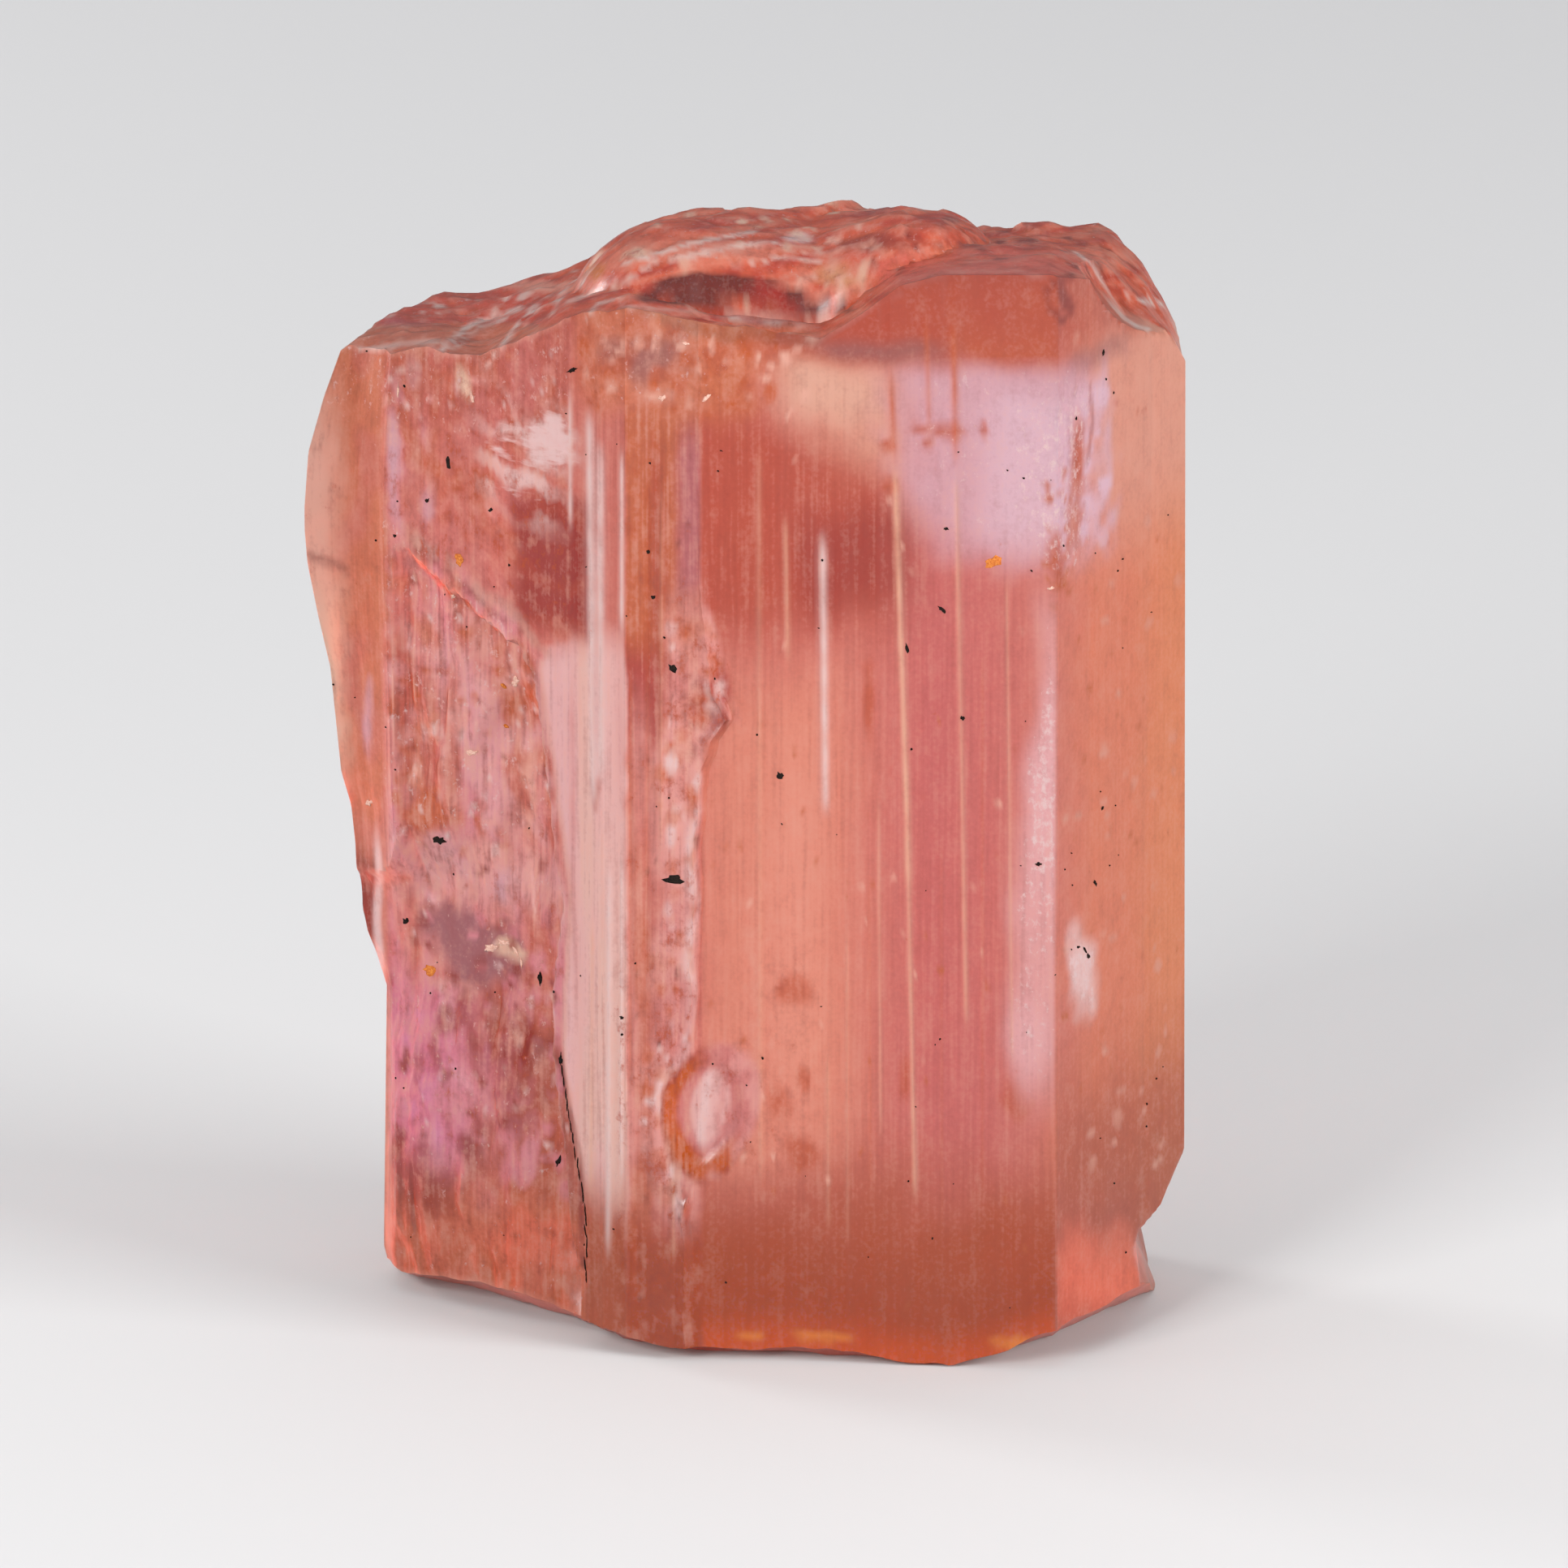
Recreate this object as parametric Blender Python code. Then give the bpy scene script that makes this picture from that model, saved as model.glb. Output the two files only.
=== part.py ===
"""Imperial topaz crystal: one stubby prism, broken at both ends, standing on its flat cleavage base.

Lengths below are millimetres and MM turns them into Blender's metres. +X is the crystal's right and
-Y its front, as it faces the viewer. +Z runs up its long axis. The origin is the middle of the base.
"""

import math

import bmesh
import bpy
from mathutils import Vector, noise

MM = 0.001

# Driving dimensions
WIDTH = 15.5
DEPTH = 9.6
BLANK_HEIGHT = 21.0
HALF_WIDTH = WIDTH / 2
HALF_DEPTH = DEPTH / 2

# Fineness of the faceted solid
WALL_STEP = 0.42
WALL_LEVELS = (0.0, 1.2, 2.6, 4.0, 5.5, 6.1, 6.9, 8.1, 8.8, 9.4, 10.4, 11.3, 12.2, 13.2, 14.2, 15.2,
               16.2, 17.2, 19.0, BLANK_HEIGHT)
FRACTURE_STEP = 0.36

# Striations, the fine flutes that run up every prism face
FLUTE_DEPTH = 0.09
FLUTE_PITCH = 0.55

# The section's corners at the base, counter-clockwise from above, starting at the left edge.
# The third value is the share of the left flake's reach that the corner takes.
SECTION = (
    (-6.40, 0.55, 1.0),
    (-6.10, -0.55, 0.2),
    (-3.10, -3.20, 0.0),
    (-2.50, -3.72, 0.0),
    (-2.08, -3.95, 0.0),
    (-0.78, -4.26, 0.0),
    (-0.62, -4.26, 0.0),
    (0.60, -4.21, 0.0),
    (5.46, -HALF_DEPTH, 0.0),
    (HALF_WIDTH, -1.40, 0.0),
    (7.62, 0.90, 0.0),
    (6.20, 3.00, 0.0),
    (0.30, HALF_DEPTH, 0.0),
    (-5.30, 3.35, 0.1),
    (-6.30, 1.75, 0.4),
)
GROWTH_STEP = (5, 6)  # the two corners of the ledge that bounds the main front face
TAPER = 0.012  # how much narrower the blank is at its top

# Height against how far left the crystal reaches: a thin flake widens its upper two thirds
LEFT_REACH = (
    (0.0, -6.25),
    (0.7, -6.42),
    (5.5, -6.34),
    (6.1, -6.52),
    (6.9, -6.84),
    (8.1, -6.88),
    (8.8, -6.95),
    (9.4, -7.12),
    (11.3, -7.30),
    (12.2, -7.50),
    (13.2, -7.69),
    (14.0, -HALF_WIDTH),
    (15.2, -7.66),
    (16.2, -7.38),
    (17.2, -7.02),
    (BLANK_HEIGHT, -6.80),
)
# Height against the sideways wander of the ledge beside the main face
LEDGE_WANDER = (
    (0.0, -0.30),
    (3.6, -0.28),
    (6.2, -0.20),
    (8.5, -0.12),
    (10.4, 0.0),
    (11.5, 0.50),
    (13.2, 0.18),
    (14.2, 0.0),
    (BLANK_HEIGHT, 0.0),
)

# Height against how far the main face lies behind that ledge
LEDGE_SINK = (
    (0.0, 0.08),
    (3.6, 0.16),
    (12.2, 0.20),
    (13.2, 0.14),
    (15.2, 0.0),
)

# The broken top: x against height along the front edge and along the back edge
TOP_FRONT = (
    (-9.0, 15.6),
    (-HALF_WIDTH, 16.25),
    (-7.3, 16.9),
    (-6.8, 17.2),
    (-5.4, 17.5),
    (-4.5, 17.5),
    (-3.1, 18.5),
    (-2.0, 18.9),
    (-0.8, 18.7),
    (0.6, 18.6),
    (1.4, 18.35),
    (2.0, 18.85),
    (2.7, 19.4),
    (3.4, 19.6),
    (5.3, 19.65),
    (6.2, 19.3),
    (6.9, 18.5),
    (7.4, 17.9),
    (HALF_WIDTH, 17.2),
    (9.0, 15.5),
)
TOP_BACK = (
    (-9.0, 15.6),
    (-HALF_WIDTH, 16.3),
    (-7.3, 16.95),
    (-6.8, 17.25),
    (-6.0, 17.45),
    (-5.1, 17.4),
    (-4.2, 17.4),
    (-3.4, 17.65),
    (-2.5, 18.0),
    (-1.7, 18.2),
    (-0.8, 18.35),
    (5.4, 18.5),
    (6.4, 18.7),
    (7.0, 18.3),
    (HALF_WIDTH, 17.0),
    (9.0, 15.8),
)
MOUND = (0.8, 0.3, 3.7, 2.8, 1.0)  # x, y, half length, half width, height
CREVICE = (0.0, -2.75, 2.1, 0.55, 0.40)  # x, y, half length, half width, depth
GROOVE = (0.2, -3.75, 1.1, 0.35, 0.25)  # x, y, half length, half width, depth
HACKLE_HEIGHT = 0.26  # the ledges and splinters of the broken top

# The underside: x against how high the front of the base is broken away, and how far back
BASE_LIFT = (
    (-8.0, 0.40),
    (-6.0, 0.45),
    (-4.3, 0.62),
    (-2.9, 0.56),
    (-1.3, 0.20),
    (0.9, 0.25),
    (2.6, 0.12),
    (3.6, 0.0),
    (4.6, 0.30),
    (5.2, 0.62),
    (5.7, 0.82),
    (9.0, 0.85),
)
BASE_LIFT_WIDTH = (
    (-8.0, 3.0),
    (-4.3, 3.0),
    (-3.1, 2.6),
    (-2.1, 1.8),
    (-1.3, 1.2),
    (3.6, 0.9),
    (5.6, 3.4),
    (9.0, 3.2),
)
BASE_FLOOR = -0.3  # the cutter's height where the base stays whole
FRONT_EDGE = (
    (-6.4, 0.55),
    (-6.1, -0.55),
    (-3.1, -3.2),
    (-2.1, -3.95),
    (-0.8, -4.2),
    (5.46, -HALF_DEPTH),
    (HALF_WIDTH, -1.4),
)

# The long splintered recess on the left front face, in that face's own frame
RECESS_LEFT = Vector((-6.10, -0.55, 0.0))
RECESS_RIGHT = Vector((-3.10, -3.20, 0.0))
RECESS_DEPTH = 0.85
RECESS_TOP = ((-0.4, 14.6), (0.4, 14.2), (1.8, 13.3), (3.3, 12.5), (6.0, 11.9))
FLAKE_FOOT = (7.4, 9.0)  # the heights between which the left flake comes out of the recess
RECESS_RIDGE = (
    (0.0, 4.5),
    (1.4, 4.4),
    (3.3, 4.1),
    (5.2, 3.8),
    (6.7, 3.9),
    (8.1, 4.0),
    (9.6, 3.8),
    (12.5, 3.3),
    (BLANK_HEIGHT, 3.2),
)

# The bite out of the lower right edge: height against depth
BITE = (
    (-1.0, 0.40),
    (0.0, 0.52),
    (0.6, 0.70),
    (1.1, 0.86),
    (1.7, 0.92),
    (2.0, 0.80),
    (2.25, 0.42),
    (2.6, 0.20),
    (3.0, 0.02),
    (3.4, -0.25),
    (6.0, -1.2),
)
BITE_FALL = 0.10  # how much lower the bite runs for each millimetre towards the front

PIT_CENTRE = Vector((-0.64, -4.14, 4.55))
CHIP_CENTRE = Vector((6.85, -1.75, 18.6))

SALMON = (0.80, 0.26, 0.19, 1.0)
POLISH = 0.16
TOPAZ_IOR = 1.62


def clear_scene():
    for leftover in list(bpy.data.objects):
        bpy.data.objects.remove(leftover)


def smooth(low, high, value):
    """0 at low, 1 at high and an S curve between them."""
    t = min(max((value - low) / (high - low), 0.0), 1.0)
    return t * t * (3 - 2 * t)


def follow(points, at):
    """The value at a place along a list of (place, value) pairs, straight between them."""
    if at <= points[0][0]:
        return points[0][1]
    for (start, first), (end, second) in zip(points, points[1:]):
        if at <= end:
            return first + (second - first) * (at - start) / (end - start)
    return points[-1][1]


def ripple(x, y, z=0.0):
    """Smooth noise from -1 to 1, the same each run."""
    return noise.noise(Vector((x, y, z)))


def terraced(value, riser):
    """Turns a slope into flat steps whose risers take up the given share of each."""
    whole = math.floor(value)
    return whole + smooth(0.5 - riser / 2, 0.5 + riser / 2, value - whole)


def section_at(height):
    """The section's corners at one height, with the left flake and the wandering ledge."""
    narrowing = 1 - TAPER * height / BLANK_HEIGHT
    flake = follow(LEFT_REACH, height) - narrowing * SECTION[0][0]
    corners = [Vector((narrowing * x + share * flake, y, height)) for x, y, share in SECTION]
    for index in GROWTH_STEP:
        corners[index].x += follow(LEDGE_WANDER, height) + 0.06 * ripple(1.7 * height, 0.5)
    corners[GROWTH_STEP[1]].y = corners[GROWTH_STEP[0]].y + follow(LEDGE_SINK, height)
    return corners


def flute(along, height):
    """How deep a striation lies at a place along the perimeter."""
    groove = 1 - abs(ripple(along / FLUTE_PITCH, 0.04 * height, 3.7))
    fine = 0.5 + 0.5 * ripple(2.6 * along / FLUTE_PITCH, 0.03 * height, 9.1)
    return FLUTE_DEPTH * (0.75 * groove ** 3 + 0.25 * fine)


def wall_ring(height):
    """The points round the crystal at one height."""
    corners = section_at(height)
    rest = section_at(0.0)
    ring = []
    along = 0.0
    for index, start in enumerate(corners):
        end = corners[(index + 1) % len(corners)]
        length = (rest[(index + 1) % len(rest)] - rest[index]).length
        count = max(1, round(length / WALL_STEP))
        side = (end - start).normalized()
        inward = Vector((-side.y, side.x, 0.0))
        for step in range(count):
            share = step / count
            fade = math.sin(math.pi * share) ** 0.5
            depth = fade * flute(along + share * length, height)
            ring.append(start.lerp(end, share) + inward * depth)
        along += length
    return ring


def prism_blank():
    """The unbroken prism, taller than the finished crystal."""
    shape = bmesh.new()
    rings = []
    for height in WALL_LEVELS:
        rings.append([shape.verts.new(point * MM) for point in wall_ring(height)])
    for lower, upper in zip(rings, rings[1:]):
        for index in range(len(lower)):
            after = (index + 1) % len(lower)
            shape.faces.new((lower[index], lower[after], upper[after], upper[index]))
    shape.faces.new(list(reversed(rings[0])))
    shape.faces.new(rings[-1])
    return shape


def relief_slab(origin, u_axis, v_axis, u_range, v_range, depth, cover):
    """A slab whose inner face lies depth(u, v) under the plane through origin, and is flat outside."""
    outward = u_axis.cross(v_axis)
    columns = max(2, round((u_range[1] - u_range[0]) / FRACTURE_STEP))
    rows = max(2, round((v_range[1] - v_range[0]) / FRACTURE_STEP))
    shape = bmesh.new()
    inner = []
    outer = {}
    for row in range(rows + 1):
        v = v_range[0] + (v_range[1] - v_range[0]) * row / rows
        line = []
        for column in range(columns + 1):
            u = u_range[0] + (u_range[1] - u_range[0]) * column / columns
            place = origin + u_axis * u + v_axis * v
            line.append(shape.verts.new((place - outward * depth(u, v)) * MM))
            if row in (0, rows) or column in (0, columns):
                outer[row, column] = shape.verts.new((place + outward * cover) * MM)
        inner.append(line)
    for row in range(rows):
        for column in range(columns):
            near, far = inner[row], inner[row + 1]
            shape.faces.new((near[column], far[column], far[column + 1], near[column + 1]))
    rim = [(0, column) for column in range(columns)]
    rim += [(row, columns) for row in range(rows)]
    rim += [(rows, column) for column in range(columns, 0, -1)]
    rim += [(row, 0) for row in range(rows, 0, -1)]
    for index, spot in enumerate(rim):
        after = rim[(index + 1) % len(rim)]
        low, high = inner[spot[0]][spot[1]], inner[after[0]][after[1]]
        shape.faces.new((low, high, outer[after], outer[spot]))
    shape.faces.new([outer[spot] for spot in rim])
    bmesh.ops.recalc_face_normals(shape, faces=shape.faces)
    return shape


def oval(x, y, spot, power=2):
    """1 at an oval spot's middle and 0 from its rim on. A higher power makes it squarer."""
    across = abs((x - spot[0]) / spot[2])
    along = abs((y - spot[1]) / spot[3])
    return max(1 - across ** power - along ** power, 0.0)


def top_height(x, y):
    """The broken top's height over a place in the section."""
    share = smooth(-HALF_DEPTH, HALF_DEPTH, y)
    height = follow(TOP_FRONT, x) * (1 - share) + follow(TOP_BACK, x) * share
    height += MOUND[4] * oval(x, y, MOUND, 3) ** 0.6
    height -= CREVICE[4] * oval(x, y, CREVICE, 3) + GROOVE[4] * oval(x, y, GROOVE)
    splinters = ripple(0.30 * x + 0.10 * y, 1.10 * y - 0.15 * x, 5.0)
    ledges = terraced(2.4 * ripple(0.22 * x - 0.10 * y, 0.50 * y + 0.12 * x, 8.0), 0.25)
    calm = smooth(-5.0, -3.4, y)
    return height + calm * HACKLE_HEIGHT * (0.6 * splinters + 0.7 * ledges)


def base_height(x, y):
    """How far the underside is broken away over a place in the section."""
    behind = y - follow(FRONT_EDGE, x)
    edge = 1 - smooth(0.1, follow(BASE_LIFT_WIDTH, x), behind)
    waves = 0.10 * ripple(0.9 * x, 0.9 * y, 2.0)
    return BASE_FLOOR + edge * (follow(BASE_LIFT, x) + waves - BASE_FLOOR)


def recess_depth(u, height):
    """The splintered recess, for u along the left front face and a height."""
    ridge = follow(RECESS_RIDGE, height) + 0.12 * ripple(0.7 * height, 4.0)
    scarp = smooth(ridge, ridge - 0.5, u)
    lid = follow(RECESS_TOP, u) + 0.4 * ripple(1.1 * u, 7.0)
    roof = smooth(lid, lid - 0.8, height)
    flake = smooth(*FLAKE_FOOT, height)
    fluted = 0.16 * ripple(1.7 * u, 0.20 * height, 1.0)
    lumps = 0.12 * terraced(2.5 * ripple(0.6 * u, 0.22 * height, 6.0), 0.5)
    fall = (1 - flake) * (0.45 + 0.55 * smooth(-0.3, 3.4, u)) + flake * smooth(0.0, 2.8, u)
    outside = 0.4 + 1.2 * flake * smooth(0.2, -0.5, u)
    return -outside + scarp * roof * (0.4 + RECESS_DEPTH * fall + fluted + lumps)


def bite_depth(y, height):
    """The conchoidal bite, for a place along Y and a height on the right edge."""
    lowered = height + BITE_FALL * max(-y - 1.2, 0.0)
    rounding = -1.2 * smooth(1.8, 3.6, y)
    shells = 0.05 * math.sin(4.2 * math.hypot(y + 0.5, height + 0.6))
    return follow(BITE, lowered) + rounding + shells


def pit_depth(u, v):
    """An eye-shaped pit: a steep rim round a raised oval middle."""
    lean = u - 0.12 * v
    bowl = 1 - abs(lean / 0.82) ** 1.6 - abs(v / 1.25) ** 1.6
    pupil = max(1 - ((lean - 0.05) / 0.42) ** 2 - ((v + 0.05) / 0.85) ** 2, 0.0)
    return 0.34 * min(1.6 * bowl, 1.0) - 0.20 * pupil


def shoulder_depth(u, v):
    """A shallow shell-shaped chip, for places in its own plane."""
    bowl = 1 - (u / 1.25) ** 2 - (v / 1.05) ** 2
    shells = 0.12 * math.sin(9.0 * math.hypot(u / 1.25, v + 0.9))
    return 0.26 * (bowl + shells * max(bowl, 0.0))


X_AXIS = Vector((1, 0, 0))
Y_AXIS = Vector((0, 1, 0))
Z_AXIS = Vector((0, 0, 1))


def fracture_cutters():
    """Every break in the prism, as (name, shape) pairs."""
    face = (RECESS_RIGHT - RECESS_LEFT).normalized()

    def above(x, y):
        return BLANK_HEIGHT - top_height(x, y)

    def below(x, y):
        return base_height(x, -y)

    cutters = [
        ("top_break", Vector((0, 0, BLANK_HEIGHT)), X_AXIS, Y_AXIS, (-8.6, 8.6), (-5.6, 5.6), above),
        ("base_break", Vector((0, 0, 0)), X_AXIS, -Y_AXIS, (-8.6, 8.6), (-5.6, 5.6), below),
        ("left_recess", RECESS_LEFT, face, Z_AXIS, (-2.4, 4.9), (-1.2, 15.6), recess_depth),
        ("lower_bite", Vector((HALF_WIDTH, 0, 0)), Y_AXIS, Z_AXIS, (-5.0, 3.2), (-1.0, 4.4), bite_depth),
    ]
    main_face = Vector((4.86, -0.59, 0)).normalized()
    tilt = Vector((0.60, -0.30, 0.75)).normalized()
    across = Z_AXIS.cross(tilt).normalized()
    cutters += [
        ("front_pit", PIT_CENTRE, main_face, Z_AXIS, (-1.3, 1.3), (-1.7, 1.7), pit_depth),
        ("shoulder_chip", CHIP_CENTRE, across, tilt.cross(across), (-2.4, 2.4), (-1.8, 1.8),
         shoulder_depth),
    ]
    return [(name, relief_slab(*frame, depth, 3.0)) for name, *frame, depth in cutters]


def topaz_material():
    material = bpy.data.materials.new("topaz")
    material.use_nodes = True
    shader = material.node_tree.nodes["Principled BSDF"]
    shader.inputs["Base Color"].default_value = SALMON
    shader.inputs["Roughness"].default_value = POLISH
    shader.inputs["Metallic"].default_value = 0.0
    shader.inputs["IOR"].default_value = TOPAZ_IOR
    shader.inputs["Transmission Weight"].default_value = 0.8
    return material


def add_object(name, shape):
    mesh = bpy.data.meshes.new(name)
    shape.to_mesh(mesh)
    shape.free()
    made = bpy.data.objects.new(name, mesh)
    bpy.context.scene.collection.objects.link(made)
    return made


def build():
    clear_scene()
    crystal = add_object("topaz_crystal", prism_blank())
    crystal.data.materials.append(topaz_material())
    for name, shape in fracture_cutters():
        cutter = add_object(name, shape)
        cutter.hide_render = True
        cutter.display_type = "WIRE"
        cut = crystal.modifiers.new(name, "BOOLEAN")
        cut.operation = "DIFFERENCE"
        cut.object = cutter


build()
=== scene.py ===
"""The looks of the imperial topaz crystal: fine surface, clear orange-pink stuff and studio.

The surface is worked out in millimetres, in the CAD's frame, and MM turns it into Blender's metres.
The prism's section, breaks and chips follow the same numbers as the CAD solid that they stand for.
"""

import math
import random

import bmesh
import bpy
import numpy as np
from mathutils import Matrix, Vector, noise
from mathutils.bvhtree import BVHTree
from mathutils.geometry import delaunay_2d_cdt


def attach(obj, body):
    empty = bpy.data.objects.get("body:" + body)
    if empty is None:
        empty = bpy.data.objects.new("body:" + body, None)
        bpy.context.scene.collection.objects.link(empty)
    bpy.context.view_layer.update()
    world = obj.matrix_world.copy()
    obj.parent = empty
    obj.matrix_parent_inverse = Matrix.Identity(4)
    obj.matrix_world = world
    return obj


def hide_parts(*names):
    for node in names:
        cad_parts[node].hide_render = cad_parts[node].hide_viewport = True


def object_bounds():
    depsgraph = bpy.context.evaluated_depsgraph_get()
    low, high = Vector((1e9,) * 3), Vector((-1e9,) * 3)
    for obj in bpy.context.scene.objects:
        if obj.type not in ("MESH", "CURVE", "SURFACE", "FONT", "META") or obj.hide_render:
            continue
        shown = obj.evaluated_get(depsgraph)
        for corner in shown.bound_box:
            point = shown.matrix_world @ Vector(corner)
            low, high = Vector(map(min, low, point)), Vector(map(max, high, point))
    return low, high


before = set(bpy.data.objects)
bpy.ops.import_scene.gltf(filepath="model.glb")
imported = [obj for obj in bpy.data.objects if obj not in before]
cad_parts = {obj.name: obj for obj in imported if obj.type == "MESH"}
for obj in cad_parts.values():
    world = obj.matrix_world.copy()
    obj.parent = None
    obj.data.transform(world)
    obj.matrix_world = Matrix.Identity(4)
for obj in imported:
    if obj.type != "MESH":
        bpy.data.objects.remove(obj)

cad_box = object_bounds()

MM = 0.001

# The prism
HALF_WIDTH = 7.75
HALF_DEPTH = 4.8
MIDDLE_HEIGHT = 10.0
BLANK_HEIGHT = 21.0
TAPER = 0.012

# Fineness of the visible surface
FRONT_STEP = 0.072
BACK_STEP = 0.20
ROW_COUNT = 148
TOP_GRID = 0.10
BASE_GRID = 0.26
RIM_GAP = 0.07
SHARP_ANGLE = math.radians(38)

# The section's corners at the base, counter-clockwise from above: x, y and share of the flake
SECTION = (
    (-6.40, 0.55, 1.0),
    (-6.10, -0.55, 0.2),
    (-3.10, -3.20, 0.0),
    (-2.50, -3.72, 0.0),
    (-2.08, -3.95, 0.0),
    (-0.78, -4.26, 0.0),
    (-0.62, -4.26, 0.0),
    (0.60, -4.21, 0.0),
    (5.46, -HALF_DEPTH, 0.0),
    (HALF_WIDTH, -1.40, 0.0),
    (7.62, 0.90, 0.0),
    (6.20, 3.00, 0.0),
    (0.30, HALF_DEPTH, 0.0),
    (-5.30, 3.35, 0.1),
    (-6.30, 1.75, 0.4),
)
GROWTH_STEP = (5, 6)
FRONT_SIDES = range(0, 10)
BACK_SIDES = range(10, 14)
FLAKE_SIDES = (14, 0, 1)
SEEN_SIDES = (14, *FRONT_SIDES)
TOP = -1
BASE = -2

# For each side of the section: the depth of its broad flutes and of its fine striations
FLUTES = (0.05, 0.05, 0.03, 0.03, 0.045, 0.0, 0.02, 0.022, 0.02, 0.03, 0.05, 0.07, 0.07, 0.05, 0.05)
STRIAE = (0.012, 0.012, 0.014, 0.014, 0.014, 0.0, 0.005, 0.004, 0.004, 0.006, 0.01, 0.014, 0.014,
          0.01, 0.01)
FLUTE_PITCH = 0.55

# By height: the left corner's x, how far the growth step lies to the right, and how far it sinks in
LEFT_REACH = (
    (0.0, -6.25), (0.7, -6.42), (5.5, -6.34), (6.1, -6.52), (6.9, -6.84), (8.1, -6.88),
    (8.8, -6.95), (9.4, -7.12), (11.3, -7.30), (12.2, -7.50), (13.2, -7.69),
    (14.0, -HALF_WIDTH), (15.2, -7.66), (16.2, -7.38), (17.2, -7.02), (BLANK_HEIGHT, -6.80),
)
LEDGE_WANDER = (
    (0.0, -0.30), (3.6, -0.28), (6.2, -0.20), (8.5, -0.12), (10.6, 0.0), (11.2, 0.18),
    (11.6, 0.46), (12.0, 0.20), (13.2, 0.10), (14.2, 0.0), (BLANK_HEIGHT, 0.0),
)
LEDGE_SINK = (
    (0.0, 0.08), (3.6, 0.16), (12.2, 0.20), (13.2, 0.14), (15.2, 0.0),
)

# The broken top: x against height along the front edge and along the back edge
TOP_FRONT = (
    (-9.0, 15.6), (-HALF_WIDTH, 16.25), (-7.3, 16.9), (-6.8, 17.2), (-5.4, 17.5), (-4.5, 17.5),
    (-3.1, 18.5), (-2.0, 18.9), (-0.8, 18.7), (0.6, 18.52), (1.3, 18.42), (2.0, 18.85),
    (2.7, 19.4), (3.4, 19.6), (5.3, 19.65), (6.2, 19.3), (6.9, 18.5), (7.4, 17.9),
    (HALF_WIDTH, 17.2), (9.0, 15.5),
)
TOP_BACK = (
    (-9.0, 15.6), (-HALF_WIDTH, 16.3), (-7.3, 16.95), (-6.8, 17.25), (-6.0, 17.45),
    (-5.1, 17.4), (-4.2, 17.4), (-3.4, 17.65), (-2.5, 18.0), (-1.7, 18.2), (-0.8, 18.35),
    (3.2, 18.38), (4.3, 18.68), (5.4, 18.64), (6.4, 18.7), (7.0, 18.3), (HALF_WIDTH, 17.0),
    (9.0, 15.8),
)

# Ovals on the top: middle, half length, half width, and height or depth
MOUND = (0.65, 0.3, 3.6, 2.8, 1.0)
CREVICE = (0.0, -2.75, 2.1, 0.55, 0.40)
GROOVE = (0.2, -3.75, 1.1, 0.35, 0.25)
HACKLE_HEIGHT = 0.12

# The underside: x against how high the front of the base is broken away, and how far back
BASE_LIFT = (
    (-8.0, 0.40), (-6.0, 0.45), (-4.3, 0.62), (-2.9, 0.56), (-1.3, 0.20), (0.9, 0.25),
    (2.6, 0.12), (3.6, 0.0), (4.6, 0.30), (5.2, 0.62), (5.7, 0.82), (9.0, 0.85),
)
BASE_LIFT_WIDTH = (
    (-8.0, 3.0), (-4.3, 3.0), (-3.1, 2.6), (-2.1, 1.8), (-1.3, 1.2), (3.6, 0.9), (5.6, 3.4),
    (9.0, 3.2),
)
BASE_FLOOR = -0.3
FRONT_EDGE = (
    (-6.4, 0.55), (-6.1, -0.55), (-3.1, -3.2), (-2.1, -3.95), (-0.8, -4.2), (5.46, -HALF_DEPTH),
    (HALF_WIDTH, -1.4),
)

# The splintered recess on the left front face
RECESS_LEFT = Vector((-6.10, -0.55, 0.0))
RECESS_RIGHT = Vector((-3.10, -3.20, 0.0))
RECESS_DEPTH = 0.85
RECESS_TOP = ((-0.4, 14.6), (0.4, 14.2), (1.8, 13.3), (3.3, 12.5), (6.0, 11.9))
FLAKE_FOOT = (7.4, 9.0)
RECESS_RIDGE = (
    (0.0, 4.5), (1.4, 4.4), (3.3, 4.1), (5.2, 3.8), (6.7, 3.9), (8.1, 4.0), (9.6, 3.8),
    (12.5, 3.3), (BLANK_HEIGHT, 3.2),
)

# The bite at the lower right: height against depth, and how it falls towards the front
BITE = (
    (-1.0, 0.40), (0.0, 0.52), (0.6, 0.70), (1.1, 0.86), (1.7, 0.92), (2.0, 0.80), (2.25, 0.42),
    (2.6, 0.20), (3.0, 0.02), (3.4, -0.25), (6.0, -1.2),
)
BITE_FALL = 0.10
REACH = 3.0  # how far outside its plane a break still takes material away

# The pit low on the main face and the chip at the right shoulder
PIT_CENTRE = Vector((-0.64, -4.14, 4.55))
PIT_DEPTH = 0.15
PIT_BUMP = 0.03
CHIP_CENTRE = Vector((6.85, -1.75, 18.6))
MAIN_FACE = Vector((4.86, -0.59, 0)).normalized()
CHIP_TILT = Vector((0.60, -0.30, 0.75)).normalized()

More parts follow.
